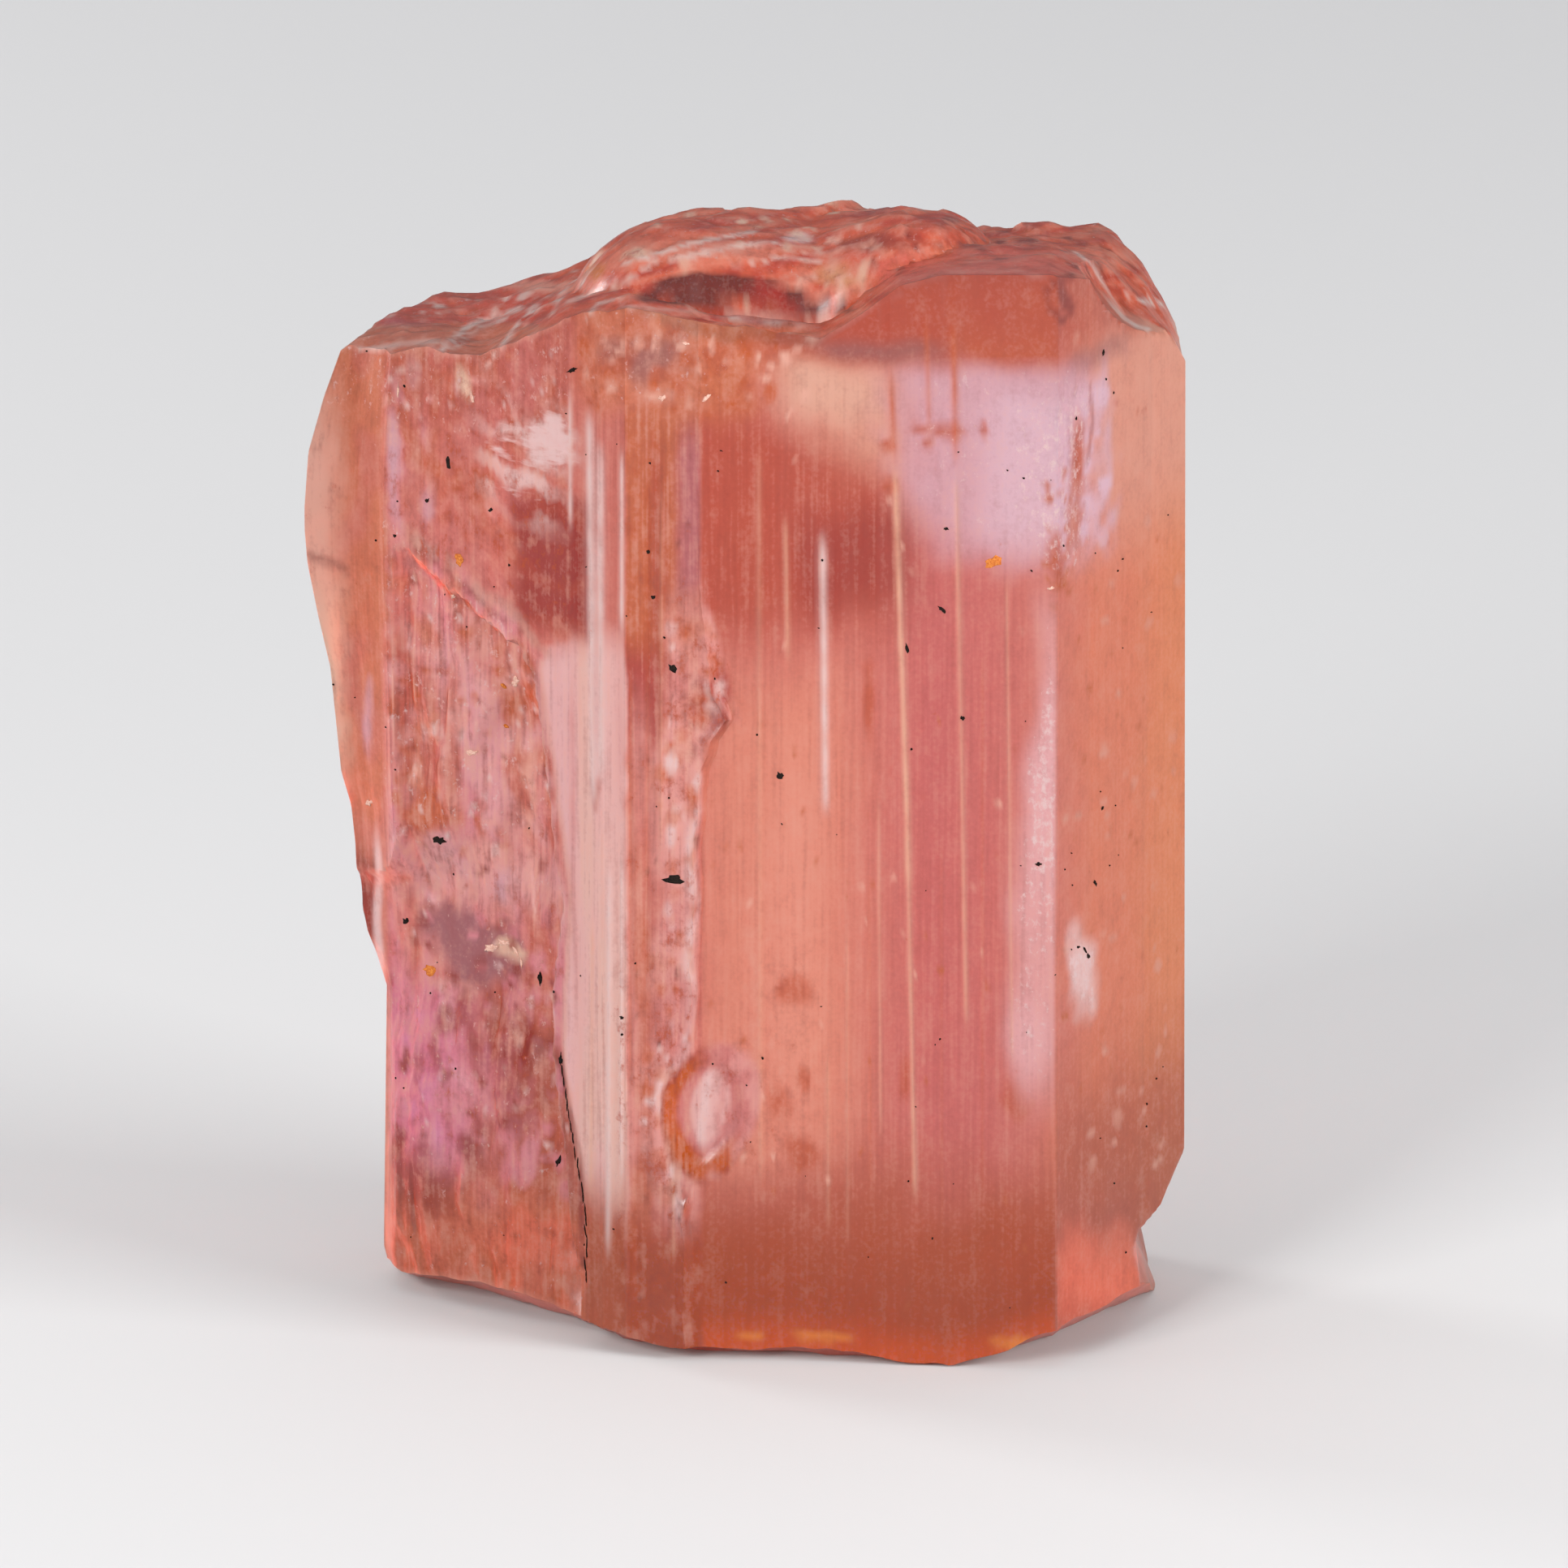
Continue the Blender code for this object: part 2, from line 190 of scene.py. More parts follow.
# Growth lines that run up the front faces. For each: its side, its (height, x) course, and
# stretches of it (foot, head, half width, rise, tone). Above 0 the tone is pale, below it rusty
GROWTH_LINES = (
    (2, ((14.6, -3.02),), ((14.6, 17.4, 0.035, 0.03, 0.9),)),
    (2, ((2.6, -2.70), (8.0, -2.66), (9.6, -2.62), (17.1, -2.68)),
     ((2.6, 8.0, 0.035, 0.02, 0.5), (9.6, 17.1, 0.075, 0.03, 1.0))),
    (3, ((1.6, -2.40), (9.0, -2.36)), ((1.6, 9.0, 0.050, 0.03, 0.85),)),
    (3, ((3.0, -2.16), (9.2, -2.14), (16.5, -2.12)),
     ((3.0, 9.2, 0.030, 0.03, 0.8), (12.9, 16.5, 0.040, 0.03, 0.9))),
    (4, ((1.0, -1.92), (3.6, -1.92), (4.8, -2.00), (12.6, -1.97)),
     ((1.0, 3.6, 0.040, -0.03, -0.4), (4.8, 12.6, 0.035, -0.05, -0.5))),
    (4, ((6.5, -1.72), (16.0, -1.66)), ((6.5, 16.0, 0.040, -0.04, -0.4),)),
    (4, ((9.0, -1.45), (15.8, -1.44)), ((9.0, 15.8, 0.035, 0.03, 0.3),)),
    (4, ((1.6, -1.25),), ((1.6, 4.4, 0.035, 0.02, 0.3),)),
    (6, ((3.0, 0.28), (16.6, 0.25)), ((3.0, 16.6, 0.045, 0.02, 0.25),)),
    (7, ((12.4, 0.76), (15.4, 0.70)), ((12.4, 15.4, 0.045, 0.02, 0.45),)),
    (7, ((0.4, 1.46), (5.8, 1.45), (9.8, 1.41), (15.1, 1.35)),
     ((2.2, 5.8, 0.035, 0.02, 0.3), (9.8, 15.1, 0.065, 0.03, 0.95))),
    (7, ((2.0, 1.80), (8.0, 1.78)), ((2.0, 8.0, 0.030, 0.01, 0.2),)),
    (7, ((3.0, 2.20), (9.0, 2.16)), ((3.0, 9.0, 0.025, -0.01, -0.3),)),
    (7, ((4.0, 2.37), (10.4, 2.32)), ((4.0, 10.4, 0.030, -0.01, 0.35),)),
    (7, ((2.9, 2.97), (10.0, 2.82), (16.2, 2.60), (18.1, 2.52)),
     ((2.9, 9.0, 0.040, -0.02, 0.6), (8.4, 16.3, 0.055, -0.02, 0.79),
      (16.1, 18.1, 0.065, -0.02, -0.8))),
    (7, ((16.6, 3.20), (19.0, 3.13)), ((16.6, 19.0, 0.050, -0.02, -0.6),)),
    (7, ((2.2, 3.45), (9.6, 3.42)), ((2.2, 9.6, 0.025, -0.01, -0.25),)),
    (7, ((6.0, 3.86), (11.5, 3.75), (16.0, 3.65), (18.9, 3.61)),
     ((6.0, 11.8, 0.040, -0.02, 0.5), (11.2, 16.2, 0.045, -0.03, 0.45),
      (16.1, 18.9, 0.065, -0.02, -0.8))),
    (7, ((3.0, 4.15), (13.0, 4.12)), ((3.0, 13.0, 0.030, -0.01, -0.3),)),
    (7, ((5.4, 4.66), (14.4, 4.53)), ((5.4, 14.4, 0.030, 0.01, 0.4),)),
)
# A painted highlight along a corner of the ridge, drawn like a growth line
EDGE_HIGHLIGHT = ((10.2, -2.50),), ((10.2, 16.6, 0.075, 0.0, 1.0),)
TIGHT_COLUMNS = (0.0, 0.025, 0.05, 0.10)
LONG_INTERVAL = 0.24

Y_AXIS = Vector((0, 1, 0))
Z_AXIS = Vector((0, 0, 1))

# The photograph's view
CAMERA_LENS = 400
SENSOR = 36
ELEVATION = math.radians(15)
PIXELS = 1932
PIXELS_PER_MM = 70
AIM = Vector((0.686, 0.0, 9.317))
CLIPPING = (0.01, 10.0)
CAMERA_DISTANCE = CAMERA_LENS / SENSOR * PIXELS / PIXELS_PER_MM

# The clear stuff
TOPAZ_IOR = 1.62
SPECULAR_LEVEL = 0.08
CLEARNESS = 0.72
CLEAR_FROST = 0.31
ABSORBED = (0.97, 0.48, 0.22)
ABSORPTION = 190.0
COAT = 0.12
COAT_ROUGHNESS = 0.12
BUMP_STRENGTH = 0.6
BUMP_DEPTH = 0.02

# The studio: its floor, its sky with its strength low and high, its lamps as (place, size, power)
FLOOR_SIZE = 1500
FLOOR_DROP = 0.02
FLOOR_COLOUR = (0.62, 0.615, 0.61, 1)
FLOOR_ROUGHNESS = 0.7
SKY_COLOUR = (0.95, 0.96, 1.0, 1)
SKY_STRENGTH = (0.22, 0.85)
LAMPS = {
    "key": ((-130, -210, 110), 110, 0.64),
    "fill": ((200, -110, 80), 110, 0.62),
    "rim": ((-170, 120, 60), 60, 0.20),
}
LAMP_AIM = (0, 0, 9)

# Where painted features lie, in millimetres on the front: (x, z) or (height, x)
GLOW_FOOT = (
    (0.0, 17.2), (0.6, 16.75), (1.2, 16.35), (2.3, 15.95), (3.26, 15.1), (4.39, 14.6),
    (6.1, 14.4),
)
SCUFF_LEFT = ((4.0, 4.75), (6.5, 4.62), (8.5, 4.68), (11.0, 4.92), (12.5, 5.05), (14.0, 5.02))
SCUFF_STRENGTH = (
    (4.4, 0.15), (6.0, 0.7), (8.0, 0.75), (10.0, 1.0), (11.8, 1.0), (12.6, 0.7), (14.0, 0.4),
)
PALE_BAND_LEFT = ((2.6, -1.45), (4.0, -1.85), (6.0, -1.72), (8.5, -1.55), (11.0, -1.42), (13.8, -1.36))
PALE_BAND_RIGHT = (
    (2.6, -1.10), (3.9, -1.15), (4.6, -1.38), (6.3, -0.95), (8.5, -0.88), (10.7, -0.74),
    (11.7, -0.17), (13.4, -0.52), (13.8, -0.80),
)
RIDGE_LEFT = (
    (0.0, -2.78), (2.4, -2.78), (3.1, -2.88), (3.8, -3.02), (5.2, -3.23), (6.7, -3.16),
    (8.2, -3.08), (9.6, -3.26), (12.2, -3.62), (12.6, -3.40), (12.8, -3.05), (21.0, -3.02),
)
RECESS_LID = (
    (-6.4, 14.6), (-5.8, 14.0), (-5.07, 13.63), (-4.49, 13.16), (-3.92, 12.99), (-3.5, 12.42),
)
STAIN_SPOTS = (
    ((0.74, 6.75), (0.30, 0.20)),
    ((0.60, 4.70), (0.20, 0.32)),
    ((0.98, 3.82), (0.26, 0.26)),
    ((4.66, 4.88), (0.24, 0.34)),
    ((2.15, 11.9), (0.10, 0.55)),
    ((2.80, 5.2), (0.12, 0.40)),
    ((0.30, 11.5), (0.20, 0.12)),
    ((1.05, 5.1), (0.10, 0.22)),
)
# Painted glowing spots along the foot of the main face
GLOWING_CHIPS = (
    ((1.35, 0.45), (0.50, 0.10)),
    ((4.75, 0.45), (0.40, 0.14)),
    ((0.10, 0.42), (0.25, 0.07)),
)
GLOW_STAINS = (
    ((3.62, 16.85), (0.24, 0.11)),
    ((3.05, 16.85), (0.26, 0.12)),
    ((3.14, 16.62), (0.10, 0.10)),
    ((2.45, 16.55), (0.10, 0.10)),
    ((2.50, 15.85), (0.16, 0.14)),
    ((4.14, 16.9), (0.07, 0.14)),
    ((5.80, 16.1), (0.12, 0.50)),
    ((5.40, 14.6), (0.14, 0.35)),
)
PALE_FLAKES = (
    ((-5.00, 10.75), (0.16, 0.42)),
    ((-4.75, 10.25), (0.22, 0.16)),
    ((-4.10, 11.55), (0.14, 0.22)),
    ((-5.25, 10.2), (0.10, 0.30)),
    ((-4.45, 8.35), (0.45, 0.16)),
    ((-5.35, 12.2), (0.08, 0.50)),
    ((-4.70, 12.4), (0.07, 0.45)),
    ((-4.15, 5.4), (0.30, 0.12)),
    ((-5.20, 5.75), (0.40, 0.10)),
    ((-3.75, 7.9), (0.10, 0.35)),
)
LILAC_SPOTS = (
    ((-5.92, 3.45), (0.14, 0.13)),
    ((-5.98, 4.50), (0.10, 0.45)),
    ((-5.60, 3.90), (0.13, 0.30)),
    ((-5.45, 3.20), (0.10, 0.40)),
    ((-4.55, 4.60), (0.07, 0.35)),
    ((-5.75, 5.15), (0.18, 0.20)),
)

# The crevice in the top as the photograph sees it: its lower and upper edge
# Between its two edges below, the top is painted dark: painted shade in the crevice
CREVICE_LOW = ((-2.0, 8.50), (-1.2, 8.45), (0.0, 8.42), (1.0, 8.33), (1.9, 8.30))
CREVICE_HIGH = (
    (-2.0, 8.58), (-1.4, 8.92), (-0.9, 9.02), (-0.2, 8.98), (0.6, 8.85), (1.2, 8.60),
    (1.9, 8.40),
)

# Thin bright edges as the photograph sees them: half width, strength and course
GLINTS = (
    (0.045, 0.9, ((-5.33, 7.66), (-4.83, 8.09), (-3.97, 8.37))),
    (0.035, 0.7, ((-5.15, 7.66), (-4.70, 8.02), (-4.20, 8.20))),
    (0.035, 0.8, ((-4.54, 7.37), (-4.26, 7.73), (-4.01, 8.09))),
    (0.040, 0.6, ((-6.83, 7.63), (-6.11, 7.73), (-5.40, 7.80))),
    (0.035, 0.6, ((-3.11, 8.49), (-2.26, 8.80), (-1.69, 9.09))),
    (0.030, 0.8, ((-2.11, 9.16), (-0.97, 9.51), (0.17, 9.73))),
    (0.030, 0.6, ((-1.70, 9.15), (-0.60, 9.42), (0.30, 9.55))),
    (0.030, 0.7, ((-1.26, 9.20), (-0.26, 9.44), (0.60, 9.54))),
    (0.030, 0.6, ((-0.26, 9.09), (0.60, 9.26), (1.31, 9.20))),
    (0.025, 0.5, ((-0.54, 8.36), (0.60, 8.28), (1.31, 8.14))),
    (0.025, 0.4, ((-2.26, 8.42), (-1.26, 8.34), (-0.54, 8.30))),
    (0.030, 0.5, ((-0.30, 8.20), (0.40, 8.14), (1.10, 8.02))),
    (0.040, 0.12, ((1.31, 7.80), (2.03, 8.23), (2.89, 8.80), (3.46, 9.01), (4.74, 9.05),
                   (5.46, 8.87))),
    (0.022, 0.8, ((5.80, 9.37), (6.10, 9.16), (6.46, 8.51))),
    (0.032, 1.0, ((6.42, 8.49), (6.67, 8.20), (6.89, 8.06), (7.10, 8.01))),
    (0.024, 1.0, ((6.67, 8.63), (7.03, 8.49), (7.46, 8.43))),
    (0.030, 0.6, ((-3.40, 8.30), (-3.15, 8.75))),
    (0.030, 0.6, ((-2.80, 8.20), (-2.60, 8.45), (-2.20, 8.55))),
    (0.030, 0.5, ((-6.30, 7.10), (-5.95, 7.35), (-5.60, 7.30))),
)

# Dark marks and cracks as the photograph sees them: half width, strength and course
CRACKS = (
    (0.045, 0.8, ((-0.97, 1.87), (-0.55, 1.51), (-0.33, 1.15))),
    (0.045, 0.8, ((-0.33, 1.15), (-0.60, 0.90), (-0.97, 0.51))),
    (0.040, 0.7, ((-1.10, 1.51), (-0.70, 1.29), (-0.33, 1.15))),
    (0.040, 0.6, ((-0.95, 1.00), (-0.65, 1.10), (-0.33, 1.15))),
    (0.050, 0.6, ((-5.83, 4.16), (-5.42, 3.88), (-5.05, 3.58), (-4.55, 3.12), (-4.20, 2.84))),
    (0.050, 0.7, ((-3.26, -4.77), (-3.10, -5.70), (-2.90, -6.60), (-2.85, -8.50))),
    (0.060, 0.8, ((5.30, 8.65), (5.45, 8.85), (5.75, 8.95))),
    (0.060, 0.8, ((5.30, 8.65), (5.36, 8.35), (5.60, 8.15))),
    (0.030, 0.5, ((6.07, 7.00), (6.12, 6.40), (6.02, 5.60))),
)

# Crumbs on the front: x, z, length, width and lean
DARK_CRUMBS = (
    (-1.22, 8.72, 0.36, 0.18, 0.1),
    (-5.16, 15.5, 0.20, 0.08, -1.3),
    (-5.55, 14.75, 0.10, 0.07, 0.3),
    (-4.42, 14.8, 0.10, 0.05, 0.5),
    (-6.12, 14.0, 0.07, 0.06, 0.0),
    (-5.38, 8.52, 0.22, 0.14, 0.2),
    (0.62, 10.6, 0.13, 0.12, 0.0),
    (-3.60, 6.25, 0.34, 0.08, 1.7),
    (-5.98, 6.85, 0.14, 0.10, 0.9),
    (-3.22, 5.15, 0.16, 0.10, 1.2),
    (-3.28, 2.95, 0.22, 0.10, 0.9),
    (-2.98, 17.6, 0.18, 0.07, 0.4),
    (-2.14, 6.15, 0.08, 0.06, 0.0),
    (-2.14, 5.85, 0.06, 0.05, 0.0),
    (-1.24, 12.5, 0.12, 0.16, 0.5),
    (2.82, 12.95, 0.07, 0.16, 0.3),
    (3.42, 13.65, 0.14, 0.06, -0.7),
    (3.78, 11.72, 0.09, 0.07, 0.0),
    (3.48, 15.1, 0.09, 0.06, 0.0),
    (5.10, 9.15, 0.10, 0.07, 0.3),
    (6.10, 8.55, 0.12, 0.06, -0.8),
    (6.20, 18.0, 0.06, 0.12, 0.0),
    (6.25, 17.5, 0.05, 0.05, 0.0),
    (5.72, 17.0, 0.06, 0.06, 0.0),
    (5.92, 7.42, 0.16, 0.05, -0.9),
    (5.80, 7.52, 0.12, 0.05, -0.2),
    (5.98, 7.28, 0.10, 0.07, -0.5),
    (-1.66, 14.55, 0.08, 0.07, 0.0),
    (-1.58, 13.75, 0.08, 0.07, 0.0),
    (6.22, 9.85, 0.07, 0.07, 0.0),
)
RUSTY_CRUMBS = (
    (4.30, 14.55, 0.32, 0.20, 0.4),
    (-4.98, 13.8, 0.18, 0.20, 0.2),
    (-5.56, 6.02, 0.22, 0.17, 0.0),
    (-4.22, 11.45, 0.12, 0.07, -0.7),
    (-4.18, 10.7, 0.09, 0.06, -0.6),
    (-3.46, 10.1, 0.10, 0.07, 1.2),
)

PALE_CRUMBS = (
    (-1.43, 17.31, 0.14, 0.10, 0.3),
    (-0.66, 17.36, 0.17, 0.07, 0.8),
    (-1.01, 18.30, 0.12, 0.07, -0.2),
    (-4.74, 16.76, 0.18, 0.07, 1.9),
    (-4.46, 6.62, 0.26, 0.15, 0.4),
    (-4.22, 6.74, 0.24, 0.09, -0.2),
    (-4.02, 6.62, 0.20, 0.07, -0.9),
    (-3.92, 6.45, 0.16, 0.05, -1.3),
    (-4.02, 11.55, 0.22, 0.13, 1.1),
    (-4.78, 10.20, 0.18, 0.12, 0.2),
    (-5.10, 13.05, 0.14, 0.08, 0.7),
    (-6.05, 16.60, 0.20, 0.04, 1.5),
    (-6.62, 8.95, 0.16, 0.10, 0.4),
    (5.30, 14.1, 0.10, 0.06, 0.2),
)

# A crumb's rings, as lift off the surface and share of its size, and its gloss and roughness
CRUMB_RINGS = ((-0.015, 0.9), (0.008, 1.0), (0.020, 0.6))
CRUMB_GLOSS = 0.1
CRUMB_ROUGHNESS = (0.7, 0.9)

# The broken line beside the recess, and the dust
CRACK_FOOT = 1.3
CRACK_HEAD = 5.3
CRACK_CRUMB = 0.20
DUST_COUNT = 220
DUST_SEED = 5

# How much of each colour the studio's light brings back from the crystal, and its plain gloss
LIT = (0.60, 0.48, 0.45)
GLOSS = (0.225, 0.092, 0.075)
DARKEST = (0.12, 0.006, 0.0)


def smooth(low, high, value):
    """0 at low, 1 at high and an S curve between them."""
    t = min(max((value - low) / (high - low), 0.0), 1.0)
    return t * t * (3 - 2 * t)


def follow(points, at):
    """The value at a place along a list of (place, value) pairs, straight between them."""
    if at <= points[0][0]:
        return points[0][1]
    for (start, first), (end, second) in zip(points, points[1:]):
        if at <= end:
            return first + (second - first) * (at - start) / (end - start)
    return points[-1][1]


def ripple(x, y, z=0.0):
    """Smooth noise from -1 to 1, the same each run."""
    return noise.noise(Vector((x, y, z)))


def terraced(value, riser):
    """Turns a slope into flat steps whose risers take up the given share of each."""
    whole = math.floor(value)
    return whole + smooth(0.5 - riser / 2, 0.5 + riser / 2, value - whole)


def facets(u, v, seed):
    """A break of small planes that tilt at random, about -0.5 to 0.5."""
    place = Vector((u, v, seed))
    distances, centres = noise.voronoi(place)
    centre = centres[0]
    away = (place - centre) * smooth(0.0, 0.25, distances[1] - distances[0])
    tilt_u = ripple(7.3 * centre.x, 7.3 * centre.y, 4.1 * centre.z)
    tilt_v = ripple(5.9 * centre.y, 6.7 * centre.x, 8.7 * centre.z)
    return away.x * tilt_u + away.y * tilt_v


def section_at(height):
    """The section's corners at one height, with the left flake and the wandering ledge."""
    narrowing = 1 - TAPER * height / BLANK_HEIGHT
    flake = follow(LEFT_REACH, height) - narrowing * SECTION[0][0]
    corners = [Vector((narrowing * x + share * flake, y, height)) for x, y, share in SECTION]
    for index in GROWTH_STEP:
        corners[index].x += follow(LEDGE_WANDER, height) + 0.06 * ripple(1.7 * height, 0.5)
        corners[index].x += 0.03 * ripple(6.0 * height, 2.5)
    corners[GROWTH_STEP[1]].y = corners[GROWTH_STEP[0]].y + follow(LEDGE_SINK, height)
    return corners


def flute(side, along, height):
    """How deep the flutes and striations of a side lie at a place along the perimeter."""
    groove = 1 - abs(ripple(along / FLUTE_PITCH, 0.04 * height, 3.7))
    broad = FLUTES[side] * (0.75 * groove ** 3 + 0.25)
    wide = abs(ripple(along / 0.17, 0.03 * height, 9.1))
    narrow = abs(ripple(along / 0.08, 0.05 * height, 1.3))
    return broad + STRIAE[side] * (0.6 * wide + 0.4 * narrow)


def guides_of(side, start, end, height):
    """How far along a side its ends and its growth lines are, from 0 to 1, left to right."""
    courses = [course for owner, course, _ in GROWTH_LINES if owner == side]
    lines = [(follow(course, height) - start.x) / (end.x - start.x) for course in courses]
    return [0.0] + lines + [1.0]


def interval_places(length, step):
    """Places along an interval from 0 to below 1, closer together at both ends if it is long."""
    if length < LONG_INTERVAL:
        return [index / 4 for index in range(4)]
    tight = [place / length for place in TIGHT_COLUMNS]
    count = max(1, round((length - 2 * TIGHT_COLUMNS[-1]) / step))
    middle = [tight[-1] + (1 - 2 * tight[-1]) * index / count for index in range(1, count)]
    return tight + middle + [1 - place for place in reversed(tight[1:])]


def wall_columns():
    """The places round the crystal: (side, interval between its lines, place in it, distance)."""
    rest = section_at(MIDDLE_HEIGHT)
    columns = []
    distance = 0.0
    for side in range(len(rest)):
        start = rest[side]
        end = rest[(side + 1) % len(rest)]
        length = (end - start).length
        marks = guides_of(side, start, end, MIDDLE_HEIGHT)
        for interval, (low, high) in enumerate(zip(marks, marks[1:])):
            if side in FRONT_SIDES:
                places = interval_places((high - low) * length, FRONT_STEP)
            else:
                count = round(length / BACK_STEP)
                places = [index / count for index in range(count)]
            for place in places:
                passed = (low + place * (high - low)) * length
                columns.append((side, interval, place, distance + passed))
        distance += length
    return columns


def oval(x, y, spot, power=2):
    """1 at an oval spot's middle and 0 from its rim on. A higher power makes it squarer."""
    across = abs((x - spot[0]) / spot[2])
    along = abs((y - spot[1]) / spot[3])
    return max(1 - across ** power - along ** power, 0.0)


def top_height(x, y):
    """The broken top's height over a place in the section."""
    share = smooth(-HALF_DEPTH, HALF_DEPTH, y)
    height = follow(TOP_FRONT, x) * (1 - share) + follow(TOP_BACK, x) * share
    height += MOUND[4] * oval(x, y, MOUND, 3) ** 0.7
    height -= CREVICE[4] * oval(x, y, CREVICE, 3) + GROOVE[4] * oval(x, y, GROOVE)
    splinters = ripple(0.30 * x + 0.10 * y, 1.10 * y - 0.15 * x, 5.0)
    ledges = terraced(2.4 * ripple(0.22 * x - 0.10 * y, 0.50 * y + 0.12 * x, 8.0), 0.25)
    calm = smooth(-5.0, -3.4 + 2.2 * smooth(1.6, 3.0, x), y)
    shells = 0.45 * facets(0.55 * x + 0.1 * y, 0.9 * y - 0.1 * x, 2.0)
    chips = 0.20 * facets(1.4 * x, 2.4 * y, 5.0)
    return height + calm * (HACKLE_HEIGHT * (0.6 * splinters + 0.5 * ledges) + shells + chips)


def base_height(x, y):
    """The underside's height over a place in the section."""
    behind = y - follow(FRONT_EDGE, x)
    edge = 1 - smooth(0.1, follow(BASE_LIFT_WIDTH, x), behind)
    waves = 0.10 * ripple(0.9 * x, 0.9 * y, 2.0) + 0.03 * ripple(2.9 * x, 2.9 * y, 4.0)
    return max(BASE_FLOOR + edge * (follow(BASE_LIFT, x) + waves - BASE_FLOOR), 0.0)


def recess_depth(u, height):
    """The splintered recess, for u along the left front face and a height."""
    ridge = follow(RECESS_RIDGE, height) + 0.12 * ripple(0.7 * height, 4.0)
    scarp = smooth(ridge, ridge - 0.5, u)
    lid = follow(RECESS_TOP, u) + 0.4 * ripple(1.1 * u, 7.0) + 0.15 * ripple(4.5 * u, 2.0)
    roof = smooth(lid, lid - 0.8, height)
    flake = smooth(*FLAKE_FOOT, height)
    fluted = 0.14 * ripple(1.2 * u, 0.20 * height, 1.0)
    lumps = 0.10 * terraced(2.5 * ripple(0.6 * u, 0.22 * height, 6.0), 0.5)
    lumps += 0.09 * ripple(1.2 * u, 0.8 * height, 3.0)
    splinters = 0.22 * facets(1.6 * u, 0.5 * height, 1.0)
    splinters += 0.12 * facets(3.4 * u, 1.1 * height, 6.0)
    fall = (1 - flake) * (0.45 + 0.55 * smooth(-0.3, 3.4, u)) + flake * smooth(0.0, 2.8, u)
    outside = 0.4 + 1.2 * flake * smooth(0.2, -0.5, u)
    return -outside + scarp * roof * (0.4 + RECESS_DEPTH * fall + fluted + lumps + splinters)


def bite_depth(y, height):
    """The conchoidal bite, for a place along Y and a height on the right edge."""
    lowered = height + BITE_FALL * max(-y - 1.2, 0.0)
    rounding = -1.2 * smooth(1.8, 3.6, y)
    shells = 0.05 * math.sin(4.2 * math.hypot(y + 0.5, height + 0.6))
    return follow(BITE, lowered) + rounding + shells


def pit_depth(u, v):
    """An eye-shaped pit: a steep rim round a raised oval middle."""
    lean = u - 0.12 * v
    bowl = 1 - abs(lean / 0.82) ** 1.6 - abs(v / 1.25) ** 1.6
    pupil = max(1 - ((lean - 0.05) / 0.42) ** 2 - ((v + 0.05) / 0.85) ** 2, 0.0)
    depth = smooth(0.0, 0.75, bowl) if bowl > 0 else bowl
    return PIT_DEPTH * depth - PIT_BUMP * smooth(0.0, 1.0, pupil)


def shoulder_depth(u, v):
    """A shallow shell-shaped chip, for places in its own plane."""
    bowl = 1 - (u / 1.25) ** 2 - (v / 1.05) ** 2
    shells = 0.12 * math.sin(9.0 * math.hypot(u / 1.25, v + 0.9))
    return 0.26 * (bowl + shells * max(bowl, 0.0))


def breaks():
    """Each break in the walls: origin, the plane's two axes, its two ranges and its depth."""
    face = (RECESS_RIGHT - RECESS_LEFT).normalized()
    across = Z_AXIS.cross(CHIP_TILT).normalized()
    return (
        (RECESS_LEFT, face, Z_AXIS, (-2.4, 4.9), (-1.2, 15.6), recess_depth),
        (Vector((HALF_WIDTH, 0, 0)), Y_AXIS, Z_AXIS, (-5.0, 3.2), (-1.0, 4.4), bite_depth),
        (PIT_CENTRE, MAIN_FACE, Z_AXIS, (-1.3, 1.3), (-1.7, 1.7), pit_depth),
        (CHIP_CENTRE, across, CHIP_TILT.cross(across), (-2.4, 2.4), (-1.8, 1.8), shoulder_depth),
    )


BREAKS = breaks()


def pressed(point):
    """The point, moved in to the nearest break's surface where it lies outside one."""
    for origin, u_axis, v_axis, u_range, v_range, depth in BREAKS:
        away = point - origin
        u = away.dot(u_axis)
        v = away.dot(v_axis)
        if u_range[0] < u < u_range[1] and v_range[0] < v < v_range[1]:
            outward = u_axis.cross(v_axis)
            above = away.dot(outward)
            if above < REACH and above > -depth(u, v):
                point = point - outward * (above + depth(u, v))
    return point


def line_cover(course, stretch, x, height):
    """How fully a stretch of a growth line covers a place: 1 along its middle and 0 beside it."""
    foot, head, half_width = stretch[:3]
    away = abs(x - follow(course, height)) / half_width
    if away > 2.2 or not foot < height < head:
        return 0.0
    return math.exp(-away * away) * smooth(foot, foot + 0.6, height) * smooth(head, head - 0.6, height)


def line_rise(side, x, height):
    """How far a side's growth lines stand out at a place."""
    rise = 0.0
    for owner, course, stretches in GROWTH_LINES:
        if owner == side:
            rise += sum(stretch[3] * line_cover(course, stretch, x, height) for stretch in stretches)
    return rise


def wall_point(column, height):
    """The wall's place at a column and a height."""
    side, interval, place, distance = column
    corners = section_at(height)
    start = corners[side]
    end = corners[(side + 1) % len(corners)]
    marks = guides_of(side, start, end, height)
    share = marks[interval] + place * (marks[interval + 1] - marks[interval])
    edge = (end - start).normalized()
    inward = Vector((-edge.y, edge.x, 0.0))
    rounding = math.sin(math.pi * share) ** 0.5
    point = start.lerp(end, share)
    depth = flute(side, distance, height) - line_rise(side, point.x, height)
    return pressed(point + inward * rounding * depth)


def settle(column, height, surface):
    """The height at which a column meets the top or the base."""
    for _ in range(4):
        point = wall_point(column, height)
        height = surface(point.x, point.y)
    return height


